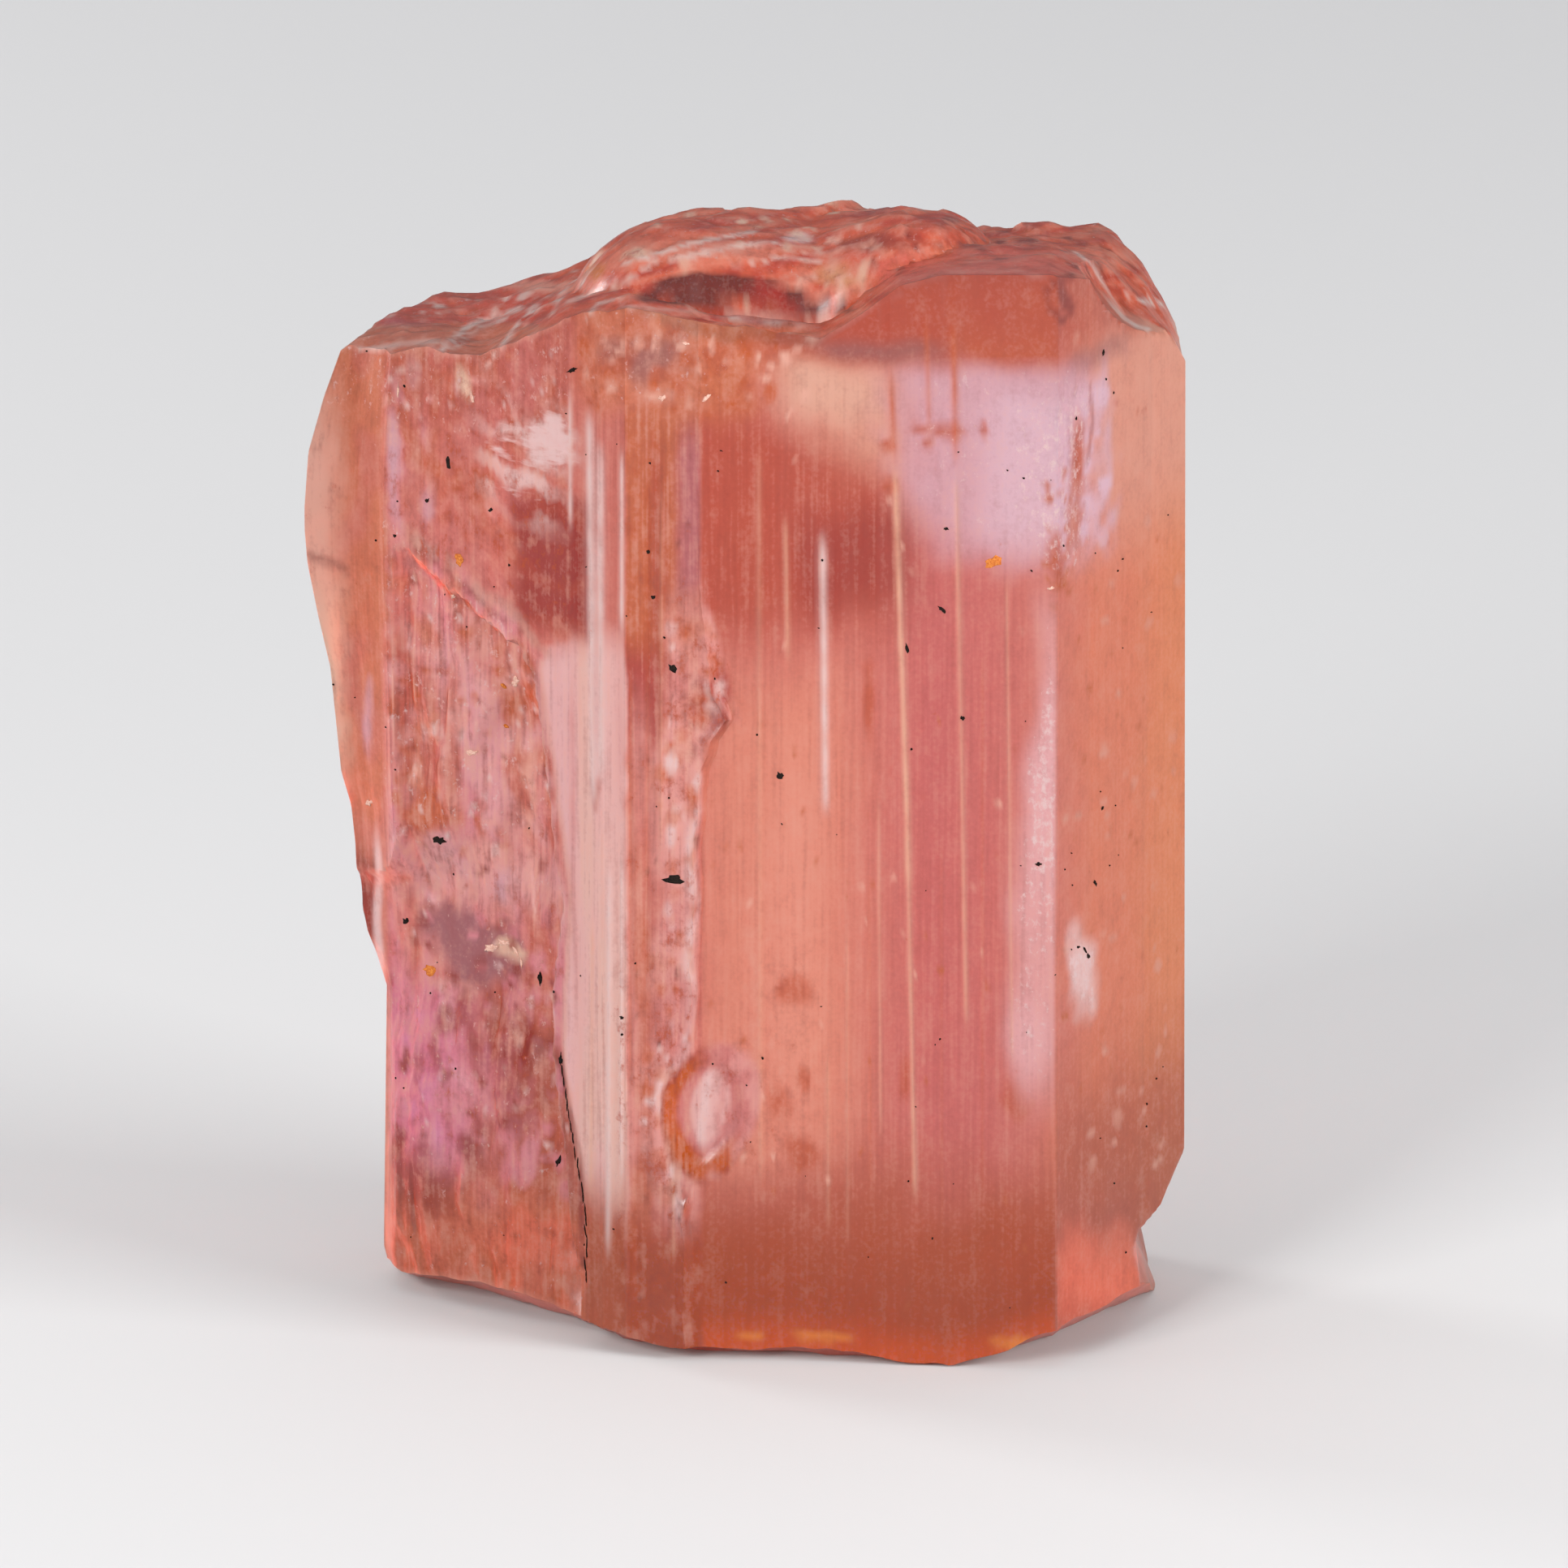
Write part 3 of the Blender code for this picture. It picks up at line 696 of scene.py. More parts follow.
def inner_points(ring, step):
    """A grid of places inside a ring of points, none nearer to it than the rim gap."""
    points = []
    y = min(p.y for p in ring) + step / 2
    row = 0
    while y < max(p.y for p in ring):
        crossings = []
        for first, second in zip(ring, ring[1:] + ring[:1]):
            if (first.y > y) != (second.y > y):
                slope = (second.x - first.x) * (y - first.y) / (second.y - first.y)
                crossings.append(first.x + slope)
        crossings.sort()
        for low, high in zip(crossings[::2], crossings[1::2]):
            x = low + RIM_GAP + (0.5 * step if row % 2 else 0.0)
            while x < high - RIM_GAP:
                points.append(Vector((x, y)))
                x += step
        y += step
        row += 1
    near = RIM_GAP * RIM_GAP
    flat = [Vector((p.x, p.y)) for p in ring]
    return [p for p in points if all((p - q).length_squared > near for q in flat)]


def add_cap(shape, ring, surface, step, upward):
    """Closes one end of the wall with a fine sheet that lies on the surface function."""
    flat = [Vector((v.co.x / MM, v.co.y / MM)) for v in ring]
    inside = inner_points([Vector((p.x, p.y, 0)) for p in flat], step)
    edges = [(i, (i + 1) % len(ring)) for i in range(len(ring))]
    result = delaunay_2d_cdt(flat + inside, edges, [], 1, 1e-6)
    places, faces = result[0], result[2]
    verts = list(ring)
    for x, y in places[len(ring):]:
        verts.append(shape.verts.new(pressed(Vector((x, y, surface(x, y)))) * MM))
    for face in faces:
        corners = [verts[i] for i in face]
        shape.faces.new(corners if upward else corners[::-1])


def placed(name, data):
    """A new object of some data, linked to the scene."""
    piece = bpy.data.objects.new(name, data)
    bpy.context.scene.collection.objects.link(piece)
    return piece


def started_material(name):
    """A new material with its nodes and its shader."""
    material = bpy.data.materials.new(name)
    material.use_nodes = True
    return material, material.node_tree, material.node_tree.nodes["Principled BSDF"]


def finished_mesh(shape, name):
    """Turns a shape into a mesh of triangles that stays within the CAD's box."""
    for vert in shape.verts:
        for axis in range(3):
            vert.co[axis] = min(max(vert.co[axis], cad_box[0][axis]), cad_box[1][axis])
    bmesh.ops.recalc_face_normals(shape, faces=shape.faces)
    bmesh.ops.triangulate(shape, faces=shape.faces)
    mesh = bpy.data.meshes.new(name)
    shape.to_mesh(mesh)
    shape.free()
    return mesh


def crystal_mesh():
    """The whole fine surface as one closed mesh."""
    shape = bmesh.new()
    columns = wall_columns()
    low = [settle(column, 0.3, base_height) for column in columns]
    high = [settle(column, 18.5, top_height) for column in columns]
    rows = []
    for row in range(ROW_COUNT + 1):
        share = row / ROW_COUNT
        line = []
        for column, bottom, top in zip(columns, low, high):
            line.append(shape.verts.new(wall_point(column, bottom + (top - bottom) * share) * MM))
        rows.append(line)
    for below, above in zip(rows, rows[1:]):
        for index in range(len(columns)):
            after = (index + 1) % len(columns)
            shape.faces.new((below[index], below[after], above[after], above[index]))
    add_cap(shape, rows[-1], top_height, TOP_GRID, True)
    top_count = len(shape.verts) - len(columns) * (ROW_COUNT + 1)
    add_cap(shape, rows[0], base_height, BASE_GRID, False)
    mesh = finished_mesh(shape, "crystal_surface")
    mesh.shade_smooth()
    mesh.set_sharp_from_angle(angle=SHARP_ANGLE)
    sides = [column[0] for column in columns] * (ROW_COUNT + 1)
    sides += [TOP] * top_count + [BASE] * (len(mesh.vertices) - len(sides) - top_count)
    return mesh, sides


def shown(red, green, blue):
    """The surface colour that shows as a picture's 8-bit colour in this studio's light."""
    linear = [((value / 255 + 0.055) / 1.055) ** 2.4 for value in (red, green, blue)]
    own = [(light - gloss) / share for light, gloss, share in zip(linear, GLOSS, LIT)]
    return tuple(min(max(value, least), 1.0) for value, least in zip(own, DARKEST))


# The crystal's colours, named by what the eye sees in the photograph
SALMON = shown(208, 122, 109)
ORANGE = shown(213, 127, 100)
SIDE_ORANGE = shown(220, 129, 102)
YELLOW_ORANGE = shown(220, 134, 98)
CREAM_ORANGE = shown(220, 136, 116)
PALE_ORANGE = shown(232, 155, 134)
CORAL = shown(229, 121, 98)
PINK = shown(206, 116, 108)
DEEP_PINK = shown(198, 107, 102)
DUSTY_PINK = shown(208, 126, 119)
RECESS_PINK = shown(218, 136, 128)
RIDGE_PINK = shown(238, 180, 172)
RIDGE_PALE = shown(240, 184, 180)
RIDGE_CREAM = shown(240, 188, 170)
PALE_PINK = shown(228, 158, 148)
PEACH = shown(221, 153, 132)
PALE_PEACH = shown(235, 172, 152)
CREAM = shown(240, 190, 165)
GREY_CREAM = shown(200, 150, 135)
STRAW = shown(218, 158, 120)
WHITE_PINK = shown(238, 196, 190)
GLINT = shown(250, 204, 186)
LILAC = shown(214, 161, 167)
WHITE_LILAC = shown(224, 180, 188)
PALE_LILAC = shown(228, 168, 166)
HOT_LILAC = shown(224, 140, 165)
MAUVE = shown(190, 115, 118)
MAUVE_PINK = shown(220, 138, 144)
MAGENTA = shown(217, 126, 142)
# Painted shade low down
LOW_SHADE_PINK = shown(188, 102, 82)
BROWN_PINK = shown(165, 88, 74)
RUST_PINK = shown(194, 100, 76)
GREY_PINK = shown(192, 106, 84)
SMOKE = shown(168, 108, 101)
SMOKE_MAUVE = shown(172, 110, 110)
DARK_SALMON = shown(190, 98, 82)
DEEP_RED = shown(178, 85, 73)
MAROON = shown(168, 76, 66)
RUST_ORANGE = shown(198, 110, 82)
RUST = shown(202, 106, 66)
RUST_LINE = shown(204, 112, 86)
# Painted shade low on the walls
LOW_SHADE_ORANGE = shown(188, 98, 66)
RED_BROWN = shown(158, 68, 44)
BROWN = shown(140, 80, 56)
IRON_YELLOW = shown(212, 122, 40)
FOOT_ORANGE = shown(212, 118, 92)
ROSE_BROWN = shown(196, 110, 96)
BRIGHT_CREAM = shown(254, 222, 202)
# Painted glow along the foot of the main face
HEM_GLOW_ORANGE = shown(222, 106, 70)
GLOWING_ORANGE = shown(236, 136, 84)
TOP_RED = shown(220, 111, 88)
TOP_BROWN = shown(190, 82, 56)
TOP_PINK = shown(232, 142, 118)
# Painted shade in the crevice on the top
CREVICE_SHADE = (0.10, 0.004, 0.0)
TOP_MAUVE = shown(216, 102, 86)
TOP_HAZE = shown(222, 116, 100)
LINE_CREAM = shown(242, 178, 150)
HAZE_RED = shown(188, 94, 76)

# Patches on the broken top as the photograph sees them: tint, cover, middle and reach
TOP_PATCHES = (
    # The first, white-pink patch is a painted highlight on the mound
    (WHITE_PINK, 0.9, (0.95, 9.62), (0.26, 0.10)),
    (STRAW, 0.9, (1.74, 8.94), (0.48, 0.20)),
    (TOP_PINK, 0.7, (-0.85, 9.38), (1.20, 0.18)),
    (TOP_HAZE, 0.95, (3.20, 9.05), (1.30, 0.32)),
    (TOP_HAZE, 0.9, (4.70, 9.15), (1.10, 0.28)),
    (RED_BROWN, 0.8, (3.60, 9.50), (0.55, 0.05)),
    (RED_BROWN, 0.9, (4.96, 9.58), (0.22, 0.06)),
    (RED_BROWN, 0.6, (2.60, 9.52), (0.70, 0.14)),
    (IRON_YELLOW, 0.9, (-2.64, 9.04), (0.16, 0.15)),
    (PALE_ORANGE, 0.8, (-3.50, 8.76), (0.50, 0.10)),
    (MAUVE, 0.6, (-6.00, 7.95), (0.60, 0.22)),
)


def fade(low, high, values):
    """The S curve of smooth() for an array. It falls where low is above high."""
    t = np.clip((values - low) / (high - low), 0.0, 1.0)
    return t * t * (3 - 2 * t)


def between(values, low, high, soft):
    """1 from low to high, fading over the given distance at both ends."""
    return fade(low - soft, low + soft, values) * fade(high + soft, high - soft, values)


def along(points, values):
    """follow() for an array."""
    return np.interp(values, [at for at, _ in points], [value for _, value in points])


class Paint:
    """What is painted on the surface's points: their colour, and levels from 0 to 1 of textures and a
    painted reflection.
    """

    def __init__(self, mesh, sides):
        count = len(mesh.vertices)
        places = np.empty(3 * count)
        mesh.vertices.foreach_get("co", places)
        self.x, self.y, self.z = (places.reshape(-1, 3) / MM).T
        noises = [(ripple(0.45 * x, 0.45 * y, 0.4 * z), ripple(1.3 * x, 1.3 * y, 0.9 * z),
                   ripple(3.2 * x, 3.2 * y, 2.4 * z), ripple(2.5 * x, 2.5 * y, 0.25 * z))
                  for x, y, z in zip(self.x, self.y, self.z)]
        self.wide, self.coarse, self.fine, self.fibre = np.array(noises).T
        away = CAMERA_DISTANCE + self.y * math.cos(ELEVATION) - (self.z - AIM.z) * math.sin(ELEVATION)
        self.across = AIM.x + (self.x - AIM.x) * CAMERA_DISTANCE / away
        self.up = self.y * math.sin(ELEVATION) + (self.z - AIM.z) * math.cos(ELEVATION)
        self.up *= CAMERA_DISTANCE / away
        self.side = np.array(sides)
        self.tint = np.tile(SALMON, (count, 1))
        self.frost = np.full(count, CLEAR_FROST)
        self.speckle = np.zeros(count)
        self.streak = np.full(count, 0.25)
        self.stain = np.full(count, 0.15)
        self.layers = np.zeros(count)
        self.calm = np.zeros(count)

    def front(self):
        """1 on the walls that the photograph shows."""
        return np.isin(self.side, SEEN_SIDES).astype(float)

    def lay(self, cover, tint, frost=None):
        """Lays a colour over what is there, as thickly as the cover says."""
        cover = np.clip(cover, 0.0, 1.0)
        self.tint += cover[:, None] * (np.array(tint) - self.tint)
        if frost is not None:
            self.frost += cover * (frost - self.frost)

    def bring(self, cover, **levels):
        """Brings the named finishes to their levels where the cover is full."""
        for name, level in levels.items():
            finish_and_reflection = getattr(self, name)
            finish_and_reflection += np.clip(cover, 0.0, 1.0) * (level - finish_and_reflection)

    def blob(self, across, up, middle, reach, soft=0.4, ragged=0.2):
        """The cover of an oval patch with a soft, ragged rim."""
        distance = np.hypot((across - middle[0]) / reach[0], (up - middle[1]) / reach[1])
        return fade(1 + soft, 1 - soft, distance + ragged * (0.8 * self.fine + self.coarse))


def sprinkle(paint, part, place, box, count, sizes, tint):
    """Scatters small ragged flecks of one colour over a box, the same each run."""
    dice = random.Random(count + round(100 * box[0][0]))
    for _ in range(count):
        middle = (dice.uniform(*box[0]), dice.uniform(*box[1]))
        size = dice.uniform(*sizes)
        cover = dice.uniform(0.4, 0.9)
        near = (abs(place[0] - middle[0]) < 3 * size) & (abs(place[1] - middle[1]) < 5 * size)
        reach = (size, size * dice.uniform(0.6, 1.8))
        paint.lay(part * near * cover * paint.blob(*place, middle, reach, 0.4, 0.5), tint)


def sprinkle_all(paint, part, place, box, kinds):
    """Scatters flecks of several kinds over one box. For each: count, sizes and tint."""
    for count, sizes, tint in kinds:
        sprinkle(paint, part, place, box, count, sizes, tint)


def paint_all_over(paint):
    """Broad upright zones of colour, as the crystal grew, fibres along them, and painted shade low
    down.
    """
    walls = paint.side >= 0
    paint.lay(walls * 0.8 * fade(0.0, 0.5, paint.fibre), PINK)
    paint.lay(walls * 0.7 * fade(0.0, -0.5, paint.fibre), ORANGE)
    paint.lay(walls * 0.5 * fade(0.15, 0.6, paint.coarse), PEACH)
    # Darker orange low down: painted shade
    paint.lay(walls * fade(3.2, 0.6, paint.z + 0.5 * paint.coarse), LOW_SHADE_ORANGE)
    paint.bring(walls, stain=0.35)
    behind = np.isin(paint.side, BACK_SIDES).astype(float)
    paint.bring(behind * fade(0.25, 0.6, paint.coarse + 0.4 * paint.fibre), speckle=0.45)


def paint_main_face(paint):
    """The broad main face: cream-orange left, pink right, darker above, with painted shade and glow
    below.
    """
    x = paint.x + 0.15 * paint.coarse
    z = paint.z + 0.30 * paint.coarse + 0.5 * paint.wide
    face = paint.front() * between(paint.x, -0.75, 5.42, 0.03)
    paint.lay(face, SALMON)
    paint.lay(face * between(x, -0.9, 2.0, 0.8) * between(z, 3.4, 12.3, 1.0), CREAM_ORANGE)
    paint.lay(face * 0.4 * between(x, 0.5, 1.3, 0.4) * between(z, 5.0, 11.0, 1.5), PALE_ORANGE)
    paint.lay(face * between(x, 2.5, 4.7, 0.8) * between(z, 3.2, 14.8, 1.2), PINK)
    paint.lay(face * 0.3 * between(x, 3.0, 3.6, 0.30) * between(z, 5.0, 14.0, 2.0), DEEP_PINK)
    paint.lay(face * 0.9 * between(x, -1.2, 2.5, 0.5) * between(z, 13.1, 17.2, 0.75), DARK_SALMON)
    paint.lay(face * 0.7 * between(x, 0.9, 3.0, 0.5) * between(z, 13.4, 15.5, 0.6), MAROON)
    paint.lay(face * between(z, 18.0, 21.0, 0.3), DARK_SALMON)
    paint.lay(face * 0.8 * paint.blob(x, z, (2.6, 19.0), (1.0, 0.5), 0.7, 0.5), HAZE_RED)
    paint.lay(face * 0.7 * paint.blob(x, z, (4.6, 18.75), (1.0, 0.6), 0.7, 0.5), RUST_LINE)
    paint.lay(face * 0.45 * paint.blob(x, z, (0.1, 18.3), (1.6, 0.5)), ORANGE)
    # Darker towards the foot: painted shade
    paint.lay(face * fade(4.3, 1.7, z - 0.10 * x), LOW_SHADE_PINK)
    paint.lay(face * fade(2.9, 0.6, z - 0.12 * abs(x - 1.0)), LOW_SHADE_ORANGE)
    paint.lay(face * 0.5 * paint.blob(x, z, (3.6, 1.6), (1.1, 0.9), 0.6), LOW_SHADE_PINK)
    # Along the foot: a painted glow, and painted glowing spots
    hem = paint.z - along(BASE_LIFT, paint.x) + 0.10 * paint.coarse
    paint.lay(face * 0.7 * fade(0.80, 0.0, hem), HEM_GLOW_ORANGE)
    for middle, reach in GLOWING_CHIPS:
        paint.lay(face * 0.9 * paint.blob(x, paint.z, middle, reach, 0.4, 0.5), GLOWING_ORANGE)
    place = (paint.x, paint.z)
    for middle, reach in STAIN_SPOTS:
        paint.lay(face * 0.7 * paint.blob(*place, middle, reach, 0.6, 0.9), RUST_PINK)
    paint.bring(face, streak=0.24, stain=0.20)
    paint.bring(face * fade(3.6, 2.4, z), streak=0.10, stain=0.10)
    paint.bring(face * fade(17.6, 18.2, z), streak=0.03)
    sprinkle(paint, face, place, ((-0.6, 5.3), (1.0, 12.0)), 60, (0.02, 0.05), RUST_ORANGE)
    sprinkle(paint, face, place, ((-0.6, 5.3), (1.0, 17.0)), 50, (0.02, 0.04), PALE_PEACH)
    paint.bring(face * between(x, 0.0, 1.2, 0.4) * between(z, 3.0, 8.0, 1.0), stain=0.6)


def paint_window_glow(paint):
    """The lilac, peach and grey reflections under the top of the main face."""
    x = paint.x + 0.12 * paint.coarse
    z = paint.z + 0.15 * paint.coarse
    front = paint.front()
    foot = along(GLOW_FOOT, x) + 0.4 * paint.wide + 0.15 * paint.fine
    glow = fade(18.2, 17.75, z) * fade(foot - 0.65, foot + 0.75, z)
    peach = glow * fade(0.1, 1.0, x) * fade(3.2, 2.2, x)
    paint.lay(front * 0.9 * peach, PEACH)
    paint.lay(front * 0.35 * peach * paint.blob(x, z, (1.3, 17.4), (1.2, 0.45), 0.6), CREAM)
    shred = x + 0.35 * paint.fine + 0.25 * paint.fibre
    lilac = glow * fade(1.9, 3.4, x + 0.3 * paint.fine) * fade(6.5, 5.65, shred)
    paint.lay(front * 0.9 * lilac, LILAC)
    paint.lay(front * 0.75 * lilac * fade(3.7, 4.7, x) * fade(17.9, 17.2, z), WHITE_LILAC)
    paint.bring(front * lilac, streak=0.08, speckle=0.40)
    paint.bring(front * (lilac + peach), stain=0.30)
    fringe = fade(4.4, 5.4, x) * fade(6.3, 5.7, x) * between(z, 14.3, 17.5, 0.5)
    paint.bring(front * fringe, speckle=0.60)
    paint.bring(front * fringe * fade(5.3, 5.6, x), stain=0.5)
    rusty = between(x, 5.62, 5.90, 0.10) * between(z, 14.8, 16.9, 0.4)
    rusty *= fade(-0.3, 0.2, paint.fine + paint.fibre)
    paint.lay(front * 0.75 * rusty, RUST_ORANGE)
    place = (paint.x, paint.z)
    sprinkle(paint, front, place, ((5.85, 6.25), (14.6, 17.3)), 18, (0.05, 0.13), WHITE_LILAC)
    sprinkle(paint, front, place, ((5.2, 5.7), (13.6, 16.2)), 30, (0.03, 0.09), RUST_ORANGE)
    smoke = between(x, 1.2, 3.4, 0.5) * between(z, 18.08, 18.36, 0.18)
    paint.lay(front * 0.85 * smoke, SMOKE)
    paint.lay(front * 0.6 * between(x, 5.6, 6.6, 0.25) * between(z, 17.75, 18.2, 0.18), SMOKE)
    for middle, reach in GLOW_STAINS:
        paint.lay(front * 0.75 * paint.blob(paint.x, paint.z, middle, reach, 0.6, 1.2), RUST_PINK)


def paint_speckled_edge(paint):
    """The whitish scuffed band along the main face's right edge, and the white scuff beside it."""
    x = paint.x
    z = paint.z
    face = paint.front() * fade(5.45, 5.34, x)
    left = along(SCUFF_LEFT, z) + 0.20 * paint.coarse
    band = fade(left - 0.25, left + 0.25, x) * between(z, 4.6, 14.0, 0.6)
    strength = along(SCUFF_STRENGTH, z)
    paint.lay(face * 0.95 * band * strength, PALE_LILAC)
    paint.bring(face * band * strength, speckle=0.72)
    tail = paint.blob(x, z, (4.95, 5.9), (0.32, 0.75), 0.6)
    paint.lay(face * 0.7 * tail, PALE_LILAC)
    scuff = paint.front() * paint.blob(x + 0.10 * (z - 7.2), z, (5.87, 7.15), (0.24, 0.75), 0.5, 0.4)
    paint.lay(0.8 * scuff, WHITE_PINK, 0.5)
    paint.bring(scuff, speckle=0.7)


def paint_right_side(paint):
    """The orange side face right of the main face; painted shade low, painted coral glow in the bite.
    """
    x = paint.x
    z = paint.z + 0.3 * paint.coarse
    face = paint.front() * fade(5.40, 5.46, x)
    soft = paint.front() * fade(4.9, 6.3, x + 0.3 * paint.coarse)
    paint.lay(face, SALMON)
    paint.lay(soft * fade(2.2, 3.6, z), SIDE_ORANGE)
    paint.lay(face * 0.8 * fade(6.5, 7.5, x + 0.2 * paint.coarse), YELLOW_ORANGE)
    paint.lay(face * 0.85 * fade(13.5, 16.0, z) * between(x, 5.9, 8.0, 0.4), PEACH)
    paint.lay(paint.front() * 0.7 * fade(17.7, 18.7, z) * fade(7.4, 6.6, x), DARK_SALMON)
    # Darker low down: painted shade. In the bite: a painted coral glow
    paint.lay(face * 0.8 * fade(6.5, 3.5, z), LOW_SHADE_PINK)
    paint.lay(face * 0.9 * paint.blob(x + 0.5 * (z - 1.4), z, (6.3, 1.45), (0.8, 0.75), 0.6), CORAL)
    paint.bring(face, stain=0.30, streak=0.10)
    kinds = ((60, (0.03, 0.08), PEACH), (70, (0.02, 0.06), RUST_ORANGE))
    sprinkle_all(paint, face, (paint.x, paint.z), ((5.5, 7.6), (2.5, 18.5)), kinds)


def paint_steps(paint):
    """The narrow steps between the ridge and the main face, with their pale broken band."""
    front = paint.front()
    x = paint.x + 0.05 * paint.fine
    z = paint.z + 0.3 * paint.coarse
    step = front * between(paint.x, -2.08, -0.75, 0.04)
    paint.lay(step, SALMON)
    paint.lay(step * 0.9 * between(z, 12.6, 17.3, 0.4), RUST_ORANGE)
    paint.lay(step * 0.8 * between(z, 10.9, 12.9, 0.5) * fade(-1.2, -1.5, x), DEEP_RED)
    paint.lay(step * 0.5 * fade(-1.6, -2.0, x) * between(z, 3.0, 10.5, 1.0), PALE_PINK)
    paint.lay(step * 0.5 * between(x, -1.62, -1.35, 0.1) * between(z, 13.0, 16.5, 0.5), DEEP_RED)
    paint.lay(step * 0.6 * fade(0.0, 0.4, paint.fibre) * fade(12.5, 11.0, z), PALE_PINK)
    paint.lay(step * 0.6 * fade(0.0, -0.4, paint.fibre + 0.4 * paint.coarse), RUST_ORANGE)
    paint.lay(step * 0.8 * between(x, -1.15, -0.72, 0.15) * between(z, 13.6, 16.8, 0.6), MAUVE)
    left = along(PALE_BAND_LEFT, z) + 0.30 * paint.coarse + 0.10 * paint.fine
    right = along(PALE_BAND_RIGHT, z) + 0.10 * paint.fine + 0.15 * paint.coarse
    pale = fade(left - 0.15, left + 0.15, x) * fade(right + 0.08, right - 0.08, x)
    pale = front * pale * between(z, 2.4, 13.6, 0.9)
    paint.lay(pale * np.clip(0.75 + 0.5 * paint.fibre + 0.5 * paint.fine, 0.1, 1.0), PALE_PINK)
    # A whitish line along the band's right edge: painted highlight on the step
    paint.lay(pale * 0.8 * fade(right - 0.25, right - 0.08, x) * fade(10.5, 9.0, z), WHITE_PINK)
    paint.lay(pale * 0.6 * fade(0.10, 0.40, paint.coarse - 0.3 * paint.fibre), DUSTY_PINK)
    paint.lay(pale * 0.6 * fade(0.15, 0.40, paint.fine - 0.4 * paint.coarse), RUST_ORANGE)
    paint.lay(front * 0.8 * paint.blob(x, z, (-0.55, 11.85), (0.28, 0.36), 0.6, 1.0), DEEP_RED)
    # Darker orange at the foot: painted shade
    paint.lay(step * fade(2.9, 1.9, z), LOW_SHADE_ORANGE)
    place = (paint.x, paint.z)
    kinds = ((70, (0.03, 0.14), RUST), (50, (0.03, 0.12), WHITE_PINK))
    sprinkle_all(paint, pale, place, ((-1.9, -0.3), (2.6, 13.4)), kinds)
    sprinkle(paint, step, place, ((-2.1, -0.7), (1.0, 16.5)), 40, (0.02, 0.06), BROWN)
    paint.bring(step, stain=0.6, streak=0.45)
    paint.bring(pale, stain=0.9)
    paint.bring(step * fade(3.4, 2.2, z), streak=0.12)


def paint_ridge(paint):
    """The smooth ridge left of the middle: a painted reflection, lilac-pink to the left, creamy to the
    right.
    """
    front = paint.front()
    x = paint.x + 0.06 * paint.fine
    z = paint.z + 0.25 * paint.coarse + 0.10 * paint.fine
    left = along(RIDGE_LEFT, paint.z)
    ridge = front * fade(left - 0.06, left + 0.06, x) * fade(-2.00, -2.12, x)
    paint.lay(ridge * between(z, 1.2, 18.2, 0.4), SALMON)
    # The pale strip: a painted reflection on the smooth ridge
    ridge_reflection = ridge * fade(13.1, 12.2, z - 0.5 * abs(x + 2.9)) * fade(1.7, 3.2, z)
    paint.lay(ridge_reflection, RIDGE_PINK)
    right = fade(-2.65, -2.25, x + 0.2 * paint.coarse)
    paint.lay(ridge_reflection * 0.6 * right * fade(11.0, 6.0, z), RIDGE_CREAM)
    paint.lay(ridge_reflection * 0.7 * between(z, 9.0, 12.0, 0.8) * fade(-2.75, -3.15, x), PALE_LILAC)
    paint.lay(ridge_reflection * 0.5 * fade(0.05, 0.4, paint.fibre), RIDGE_CREAM)
    paint.lay(ridge_reflection * 0.6 * fade(-0.05, -0.4, paint.fibre), DUSTY_PINK)
    paint.lay(ridge_reflection * 0.8 * fade(-2.90, -3.12, x), RIDGE_PALE)
    paint.lay(ridge_reflection * 0.5 * fade(left + 0.14, left + 0.04, x), PEACH)
    paint.lay(ridge * 0.8 * between(z, 13.0, 15.3, 0.3) * fade(-2.55, -2.75, x), MAROON)
    # Darker towards the foot: painted shade
    paint.lay(ridge * fade(3.5, 2.1, z), GREY_PINK)
    notch = between(paint.z, 9.75, 10.35, 0.05)
    notch *= fade(0.06, -0.06, abs(paint.x + 2.60) - 0.16 * (paint.z - 9.7))
    paint.lay(front * notch, DARK_SALMON)
    paint.bring(ridge, streak=0.36, stain=0.25)
    paint.bring(ridge * fade(3.4, 2.2, z), streak=0.15)
    paint.bring(ridge * fade(-2.35, -2.15, x) * fade(8.0, 6.0, z), stain=1.0)


def paint_under_top(paint):
    """The rough strip below the rim, left of the middle, with its grey smudge and pale grains."""
    front = paint.front()
    x = paint.x
    z = paint.z
    strip = between(x, -2.9, 0.2, 0.35) * fade(16.7, 17.6, z + 0.4 * paint.coarse)
    paint.lay(front * 0.9 * strip, ORANGE)
    paint.lay(front * 0.8 * paint.blob(x, z, (-1.75, 17.95), (0.55, 0.34), 0.7, 0.9), SMOKE)
    paint.lay(front * 0.5 * paint.blob(x, z, (-0.35, 17.35), (0.55, 0.45), 0.6, 0.8), RUST_ORANGE)
    paint.lay(front * 0.5 * strip * fade(0.15, 0.4, paint.fine), RUST_PINK)
    place = (x, z)
    sprinkle(paint, front, place, ((-2.8, 1.2), (16.9, 18.5)), 45, (0.03, 0.10), PALE_PEACH)
    sprinkle(paint, front, place, ((-2.8, 0.6), (16.9, 18.5)), 35, (0.03, 0.12), RUST)
    paint.bring(front * strip, stain=0.7, streak=0.12, speckle=0.35)


